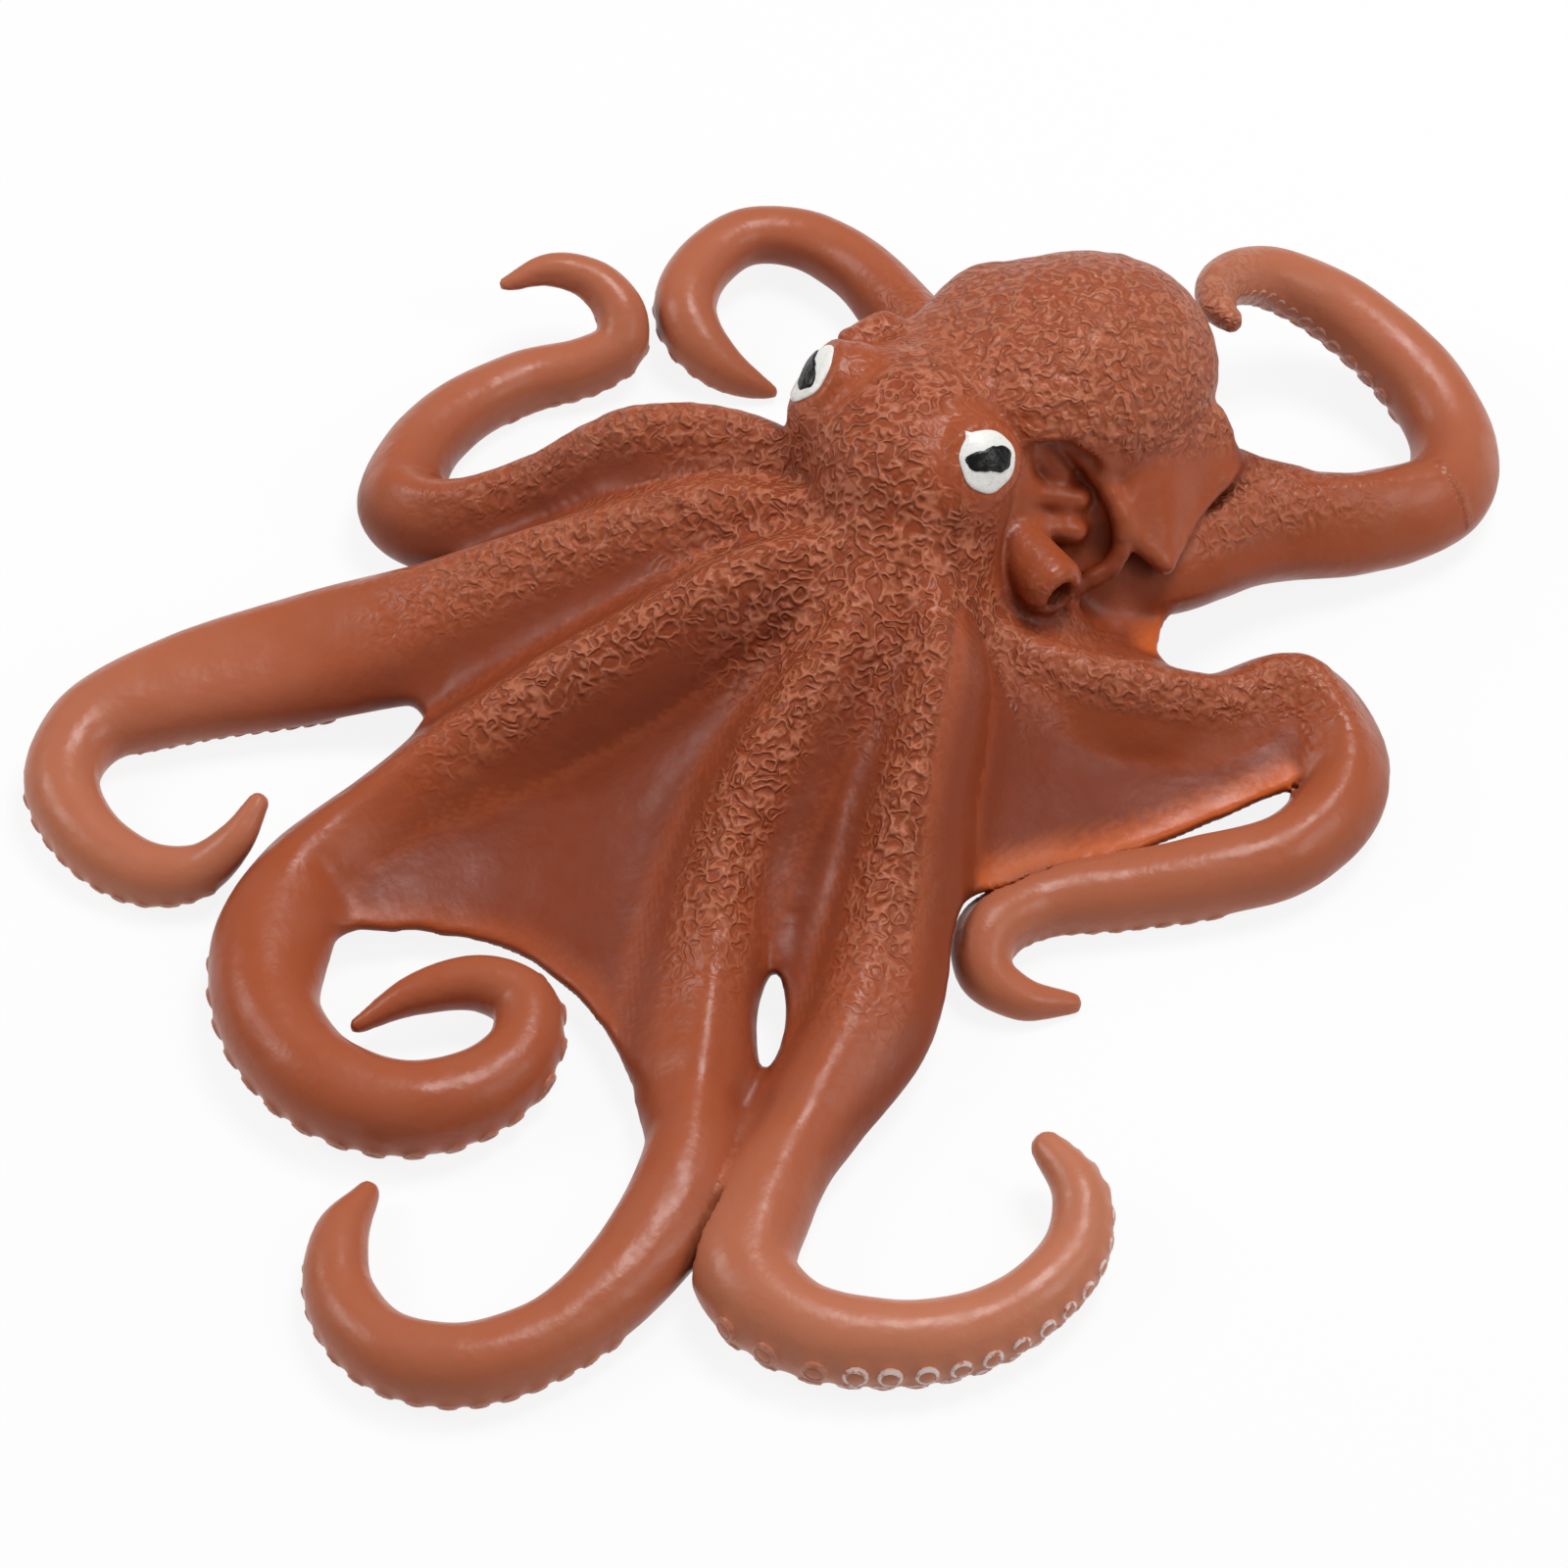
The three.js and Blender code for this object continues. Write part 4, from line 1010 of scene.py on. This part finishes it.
# PALE is the colour of the paler free ends and of the mottling, and also the painted highlight on the cords
PALE = (0.56, 0.205, 0.115, 1)
# GLOW is a painted glow where light comes through thin plastic
GLOW = (0.66, 0.13, 0.022, 1)
RUBBED = (0.82, 0.7, 0.66, 1)

skin = Finish("soft_plastic_skin")
rest = skin.point("rest", "Vector")
wrinkled = skin.point("wrinkle")
grained = skin.point("grain")

def vector(operation, first, second):
    """Adds a node that works on vectors."""
    return skin.node("ShaderNodeVectorMath", {"operation": operation}, {0: first, 1: second})

def worms(place, scale, turns):
    """Round cords along the lines where noise passes even steps of its value."""
    steps = skin.speckle(place, scale, 0.0) * (2 * math.pi * turns)
    return 0.5 + 0.5 * skin.node("ShaderNodeMath", {"operation": "SINE"}, {0: steps})

push = vector("SUBTRACT", skin.speckle(rest, 0.5, 1.0, "Color"), (0.5, 0.5, 0.5))
winding = vector("ADD", rest, vector("MULTIPLY", push, (2.0, 2.0, 2.0)))
curls = worms(winding, 0.68, 2.4)
grains = worms(winding, 0.9, 1.9)
pebbles = 1 - skin.node("ShaderNodeTexVoronoi", {"feature": "SMOOTH_F1"},
                        {"Vector": winding, "Scale": 0.75, "Smoothness": 0.6})
swell = skin.speckle(rest, 0.45, 1.0)
strength = skin.band(swell, 0.3, 0.55, 0.35, 1.0)
dimple = skin.speckle(rest, 0.22, 2.0)
relief = (wrinkled * (0.32 * curls * strength + 0.4 * swell)
          + grained * (0.22 * grains * strength + 0.5 * pebbles + 0.35 * swell)
          + 0.18 * dimple + 0.05 * skin.speckle(rest, 0.9, 2.0) + 0.3 * skin.point("seam"))
bump = skin.node("ShaderNodeBump", {}, {"Height": relief, "Distance": MM, "Strength": 1.0}, "Normal")

# painted highlight on the tops of the cords and painted shade in the pits between them
ridge_highlight = wrinkled * 0.55 * curls * curls * curls + grained * (0.1 + 0.45 * grains * grains)
pit_shade = wrinkled * (0.36 - 0.36 * curls) + grained * (0.28 - 0.28 * grains)
mottle = skin.band(skin.speckle(rest, 0.12, 3.0), 0.35, 0.7)
colour = skin.tint(BROWN, PALE, 0.12 * mottle + 0.8 * skin.point("tip"))
# painted shade in the valleys and on the flanks, with a little of the mottling
colour = skin.tint(colour, DEEP, 0.7 * skin.point("valley") + 0.1 * mottle)
# painted shade in the creases and in the hollows of the suckers
colour = skin.tint(colour, DEEP, skin.band(skin.point("crease"), 0.12, 0.85) * 0.8)
colour = skin.tint(colour, DEEP, pit_shade)
colour = skin.tint(colour, PALE, ridge_highlight)
# painted glow of light coming through the thin edges of the webs
colour = skin.tint(colour, GLOW, skin.point("thin") * 0.7)
colour = skin.tint(colour, RUBBED, skin.point("paint") * skin.band(skin.speckle(rest, 1.3, 1.0), 0.3, 0.55))
gloss = 0.27 + 0.08 * wrinkled + 0.06 * grained + 0.1 * skin.point("valley")
gloss = gloss + 0.12 * skin.band(skin.speckle(rest, 0.3, 2.0), 0.3, 0.7)
skin_finish = skin.surface(
    {"Base Color": colour, "Roughness": gloss, "Specular IOR Level": 0.27, "Normal": bump})
print("skin nodes:", len(skin.tree.nodes))

# %% [markdown]
# ## Cutting the skin into pieces
#
# An arm's free end flexes, so its skin is cut off the body a little before the place where it flexes. A face
# goes to an end if its points lie on that arm's own clay, beyond the cut, and if it hangs together with the
# rest of the end, so the webs beside it stay with the body. Both sides of the cut keep the same points, so
# that no gap opens. Weights could be painted on one whole skin, but separate pieces can each ride their own
# body.

# %% Meshes with values on their points
def make_piece(name, points, faces, values, finish):
    """A mesh object in metres, smooth, with the values kept on its points."""
    mesh = bpy.data.meshes.new(name)
    mesh.from_pydata((points * MM).tolist(), [], faces)
    mesh.polygons.foreach_set("use_smooth", np.ones(len(mesh.polygons), bool))
    for key, value in values.items():
        kind = "FLOAT_VECTOR" if value.ndim == 2 else "FLOAT"
        field = "vector" if value.ndim == 2 else "value"
        mesh.attributes.new(key, kind, "POINT").data.foreach_set(field, value.astype(np.float32).ravel())
    mesh.materials.append(finish)
    piece = bpy.data.objects.new(name, mesh)
    scene.collection.objects.link(piece)
    return piece

CUP_AROUND = 14
# how creased: how much painted shade darkens the cup there, most in its hollow middle
CUP_PROFILE = [  # out and up in cup radii, how creased and how rubbed
    (0.1, 0.2, 0.9, 0), (0.34, 0.24, 0.8, 0), (0.52, 0.46, 0.4, 0.4), (0.68, 0.62, 0, 1),
    (0.86, 0.58, 0, 0.9), (1.02, 0.34, 0, 0.35), (1.12, 0.0, 0.2, 0), (1.12, -0.5, 0, 0)]

def ring_faces(rings, around):
    """Faces over rings of points, with a cap on the first and on the last ring."""
    faces = [list(range(around))]
    for row in range(rings - 1):
        for i in range(around):
            a, b = row * around + i, row * around + (i + 1) % around
            faces.append([a, a + around, b + around, b])
    faces.append(list(range((rings - 1) * around, rings * around))[::-1])
    return faces

def sucker_cup(place, out, cup):
    """Points, faces, painted shade and rubbed paint of one sucker."""
    side = np.cross(out, [0, 0, 1])
    side = side / np.linalg.norm(side)
    up = np.cross(side, out)
    turn = np.linspace(0, 2 * math.pi, CUP_AROUND, endpoint=False)
    ring = np.cos(turn)[:, None] * side + np.sin(turn)[:, None] * up
    rows = [place + cup * (ring * wide + out * rise) for wide, rise, _, _ in CUP_PROFILE]
    creased = np.repeat([p[2] for p in CUP_PROFILE], CUP_AROUND)
    rubbed = np.repeat([p[3] for p in CUP_PROFILE], CUP_AROUND)
    return np.concatenate(rows), ring_faces(len(rows), CUP_AROUND), creased, rubbed

print("points of a sucker:", CUP_AROUND * len(CUP_PROFILE))

# %% Faces of the body and of the free ends
skin_values = {"rest": skin_points, "wrinkle": wrinkle, "grain": grain, "crease": crease, "thin": thin,
               "valley": valley, "seam": seam, "tip": tip, "paint": np.zeros(len(skin_points))}
END_REACH = 0.75  # how far the pads of the suckers may stand out of an arm, in mm

def largest(faces):
    """Which faces belong to the largest connected piece."""
    group = np.arange(len(skin_points))
    settled = False
    while not settled:
        before = group.copy()
        np.minimum.at(group, faces, np.repeat(group[faces].min(1)[:, None], 4, 1))
        group = group[group]
        settled = (group == before).all()
    names, counts = np.unique(group[faces[:, 0]], return_counts=True)
    return group[faces[:, 0]] == names[counts.argmax()]

face_owner = owner[skin_faces]
one_arm = (face_owner == face_owner[:, :1]).all(1) & (end_gap[skin_faces] < END_REACH).all(1)
face_along = along[skin_faces].mean(1)
face_piece = np.full(len(skin_faces), -1)
for number, arm in enumerate(arms.values()):
    mine = np.flatnonzero(one_arm & (face_owner[:, 0] == number) & (face_along > arm.flex - CUT_BACK))
    face_piece[mine[largest(skin_faces[mine])]] = number

def cut_skin(number):
    """Points, faces and values of one piece of the skin, without loose scraps."""
    faces = skin_faces[face_piece == number]
    faces = faces[largest(faces)]
    used, inverse = np.unique(faces, return_inverse=True)
    return skin_points[used], inverse.reshape(-1, 4).tolist(), {k: v[used] for k, v in skin_values.items()}

points, faces, values = cut_skin(-1)
body_skin = make_piece("body_skin", points, faces, values, skin_finish)
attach(body_skin, "figure")
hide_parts("head", "crown", "mantle", "siphon", *(f"arm_{name}_base" for name in arms),
            *(f"web_{name}" for name in WEBS))
print("body:", len(points), "points")

# %% [markdown]
# A line across the flex point is worked out for each end from BEND_WAY, but nothing uses it, so the ends
# are not made to bend here. The line has to be chosen so that the whole of a curled end lies on its far
# side, or the tip would stay behind. The suckers are part of their end, and pale rims show where the colour
# is rubbed off them.

# %% Free ends
BEND_WAY = {"back": (-1, -0.1), "back_left": (0.62, 0.78), "left": (-0.8, -0.6),
            "left_coil": (0.25, -0.97), "front_left": (-0.8, -0.6), "front_right": (0.6, -0.8),
            "right_fold": (-1, 0), "back_right": (-0.25, 0.97)}
LITTLE_RUBBED = 0.12  # how far the colour is rubbed off most suckers
RUBBED_CUPS = {"front_right": (8.6, 1.0), "back_right": (0, 0.35)}  # from which point on, and how far
for number, (name, arm) in enumerate(arms.items()):
    points, faces, values = cut_skin(number)
    first, share = RUBBED_CUPS.get(name, (0, LITTLE_RUBBED))
    for place, out, cup, way in suckers[name]:
        cup_points, cup_faces, creased, rubbed = sucker_cup(place, out, cup)
        faces += [[i + len(points) for i in face] for face in cup_faces]
        points = np.concatenate([points, cup_points])
        worn = rubbed * (share if way > first else LITTLE_RUBBED)
        extra = {"rest": cup_points, "crease": creased, "paint": worn, "tip": np.full(len(cup_points), 0.7)}
        values = {key: np.concatenate([value, extra.get(key, np.zeros(len(cup_points)))])
                  for key, value in values.items()}
    end = make_piece(f"arm_{name}_end_skin", points, faces, values, skin_finish)
    way = np.array([*BEND_WAY[name], 0]) / math.hypot(*BEND_WAY[name])
    (arm.hinge - 3 * way) * MM
    (arm.hinge + 7 * way) * MM
    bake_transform(end)
    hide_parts(f"arm_{name}_end")
    print(name, len(points), "points, bends over 10 mm")

# %% [markdown]
# ## The eyes
#
# Each eye is a disc of white paint on its swelling with a bar of black paint across it, put on by hand,
# so neither outline is quite regular, and the white of the right eye has a small run at its edge. Both could
# be colours in the skin's finish, but the paint is thicker and glossier than the plastic. So they are thin
# domes that follow the swelling, with a rounded edge.

# %% Eye paint
EYE_RADIUS = 3.7
DOME_AROUND = 72
DOME_PROFILE = [  # share of the way to the outline, and share of the paint's thickness there
    (0.02, 1), (0.25, 1), (0.5, 1), (0.72, 1), (0.88, 0.96), (0.96, 0.75), (1.0, 0.25), (1.0, -2)]

def skin_reach(place, ways):
    """How far the skin is from a place inside it, along each of these directions."""
    steps = np.arange(4.0, 10.0, 0.05)
    outside = np.stack([sample(place + ways * step, clay) > 0 for step in steps])
    return steps[outside.argmax(0)]

def paint_dome(name, place, axes, outline, proud, finish):
    """A thin dome that follows the skin, inside an outline given as a radius for each direction."""
    gaze, level, above = axes
    turns = np.linspace(0, 2 * math.pi, DOME_AROUND, endpoint=False)
    edge = np.array([outline(t) for t in turns])
    rows = []
    for share, lift in DOME_PROFILE:
        flat = edge * share
        height = np.sqrt(np.maximum((EYE_BULGE / 2) ** 2 - flat ** 2, 0))
        ways = (height[:, None] * gaze + (flat * np.cos(turns))[:, None] * level
                + (flat * np.sin(turns))[:, None] * above) / (EYE_BULGE / 2)
        rows.append(place + ways * (skin_reach(place, ways) + proud * lift)[:, None])
    points = np.concatenate(rows)
    return make_piece(name, points, ring_faces(len(rows), DOME_AROUND), {"rest": points}, finish)

def eye_paint(name, colour, streaked, scale, band, rough, high, level):
    """A paint with brush streaks, which differ a little in colour, gloss and height."""
    paint = Finish(name)
    streaks = paint.speckle(paint.point("rest", "Vector"), scale, 2.0)
    return paint.surface({
        "Base Color": paint.tint(colour, streaked, paint.band(streaks, *band)),
        "Roughness": rough + 0.2 * streaks, "Specular IOR Level": level,
        "Normal": paint.node("ShaderNodeBump", {}, {"Height": high * streaks, "Distance": MM}, "Normal")})

white_finish = eye_paint("white_eye_paint", (0.86, 0.85, 0.81, 1), (0.68, 0.65, 0.6, 1), scale=1.4,
                         band=(0.55, 0.8), rough=0.24, high=0.08, level=0.5)
black_finish = eye_paint("black_eye_paint", (0.006, 0.006, 0.006, 1), (0.03, 0.026, 0.024, 1), scale=1.1,
                         band=(0.45, 0.75), rough=0.2, high=0.14, level=0.3)
print("paints:", white_finish.name, black_finish.name)

# %% Two eyes
WHITE_PROUD, BLACK_PROUD = 0.25, 0.42  # how far the paints stand out of the skin
RUN_TURN, RUN_LENGTH, RUN_WIDTH = 2.1, 0.45, 0.08  # where the white has run, how far, how wide
BAR_LONG, BAR_SHORT = 3.15, 2.85  # from the middle of the bar to its two ends
BAR_HALF, BAR_WEDGE = 1.46, 0.3  # half its height in its middle, and how much more that is at one end
BAR_POWER = 3.2  # of its outline, where 2 is an oval

def disc_outline(turn):
    """Radius of the white in one direction, not quite round."""
    return EYE_RADIUS * (1 + 0.018 * math.sin(3 * turn + 1) + 0.012 * math.sin(7 * turn))

def dripped_outline(turn):
    """The same with a small run of paint."""
    return disc_outline(turn) + RUN_LENGTH * math.exp(-((turn - RUN_TURN) / RUN_WIDTH) ** 2)

def bar_outline(turn):
    """Radius of the black bar in one direction, wider at one end."""
    across, up = math.cos(turn), math.sin(turn)
    half = BAR_HALF + BAR_WEDGE * across
    reach = BAR_SHORT if across > 0 else BAR_LONG
    radius = (abs(across / reach) ** BAR_POWER + abs(up / half) ** BAR_POWER) ** (-1 / BAR_POWER)
    return radius * (1 + 0.05 * math.sin(5 * turn + 0.6) + 0.025 * math.sin(11 * turn))

for name, place in eye_place.items():
    axes = eye_axes(name)
    outline = dripped_outline if name == "right" else disc_outline
    disc = paint_dome(f"eye_white_{name}_paint", place, axes, outline, WHITE_PROUD, white_finish)
    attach(disc, "figure")
    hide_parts(f"eye_white_{name}")
    bar = paint_dome(f"pupil_{name}_paint", place, axes, bar_outline, BLACK_PROUD, black_finish)
    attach(bar, "figure")
    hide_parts(f"pupil_{name}")
print("eyes painted")

# %% [markdown]
# ## The table and the light
#
# The photograph has a bright white ground and soft light from all round, with a large soft lamp above that
# leaves long streaks of gloss. A picture of a studio could light it, but three soft lamps and an even sky
# need no file. The ground shows white to the camera and still takes part of the shadow.

# %% Ground
GROUND_HALF = 3  # m from its middle to its sides
WHITE_SHARE = 0.88  # how far it shows plain white, and the rest takes the shadow
ground = Finish("white_ground")
seen = ground.node("ShaderNodeLightPath", {}, {}, "Is Camera Ray")
mirrored = ground.node("ShaderNodeLightPath", {}, {}, "Is Glossy Ray")
through = ground.node("ShaderNodeLightPath", {}, {}, "Is Transmission Ray")
matt = ground.node("ShaderNodeBsdfDiffuse", {}, {"Color": (0.86, 0.86, 0.86, 1)})
bright = ground.node("ShaderNodeEmission", {}, {"Color": (1, 1, 1, 1), "Strength": 1.0})
shown = WHITE_SHARE * (seen + mirrored + through)
mixed = ground.node("ShaderNodeMixShader", {}, {0: shown, 1: matt, 2: bright})
ground.node("ShaderNodeOutputMaterial", {}, {"Surface": mixed})
mesh = bpy.data.meshes.new("ground")
corners = [(x * GROUND_HALF, y * GROUND_HALF, 0) for x, y in ((-1, -1), (1, -1), (1, 1), (-1, 1))]
mesh.from_pydata(corners, [], [(0, 1, 2, 3)])
mesh.materials.append(ground.material)
floor = bpy.data.objects.new("ground", mesh)
scene.collection.objects.link(floor)
print("ground:", 2 * GROUND_HALF, "m wide")

# %% Light
SKY = 0.23
LAMP_SIZE = 0.35
LAMPS = {  # places in metres, and power
    "overhead": ((0.22, 0.22, 0.8), 4.5), "left": ((-0.6, 0.1, 0.5), 1.8), "right": ((0.6, -0.2, 0.5), 1.2)}
world = bpy.data.worlds.new("studio")
scene.world = world
world.use_nodes = True
world.node_tree.nodes["Background"].inputs["Color"].default_value = (1, 1, 1, 1)
world.node_tree.nodes["Background"].inputs["Strength"].default_value = SKY
for name, (place, power) in LAMPS.items():
    data = bpy.data.lights.new(name, "AREA")
    data.shape = "DISK"
    data.size = LAMP_SIZE
    data.energy = power
    lamp = bpy.data.objects.new(name, data)
    scene.collection.objects.link(lamp)
    lamp.location = place
    lamp.rotation_euler = (-Vector(place)).to_track_quat("-Z", "Y").to_euler()
scene.view_settings.view_transform = "Standard"
print("lamps:", ", ".join(LAMPS))
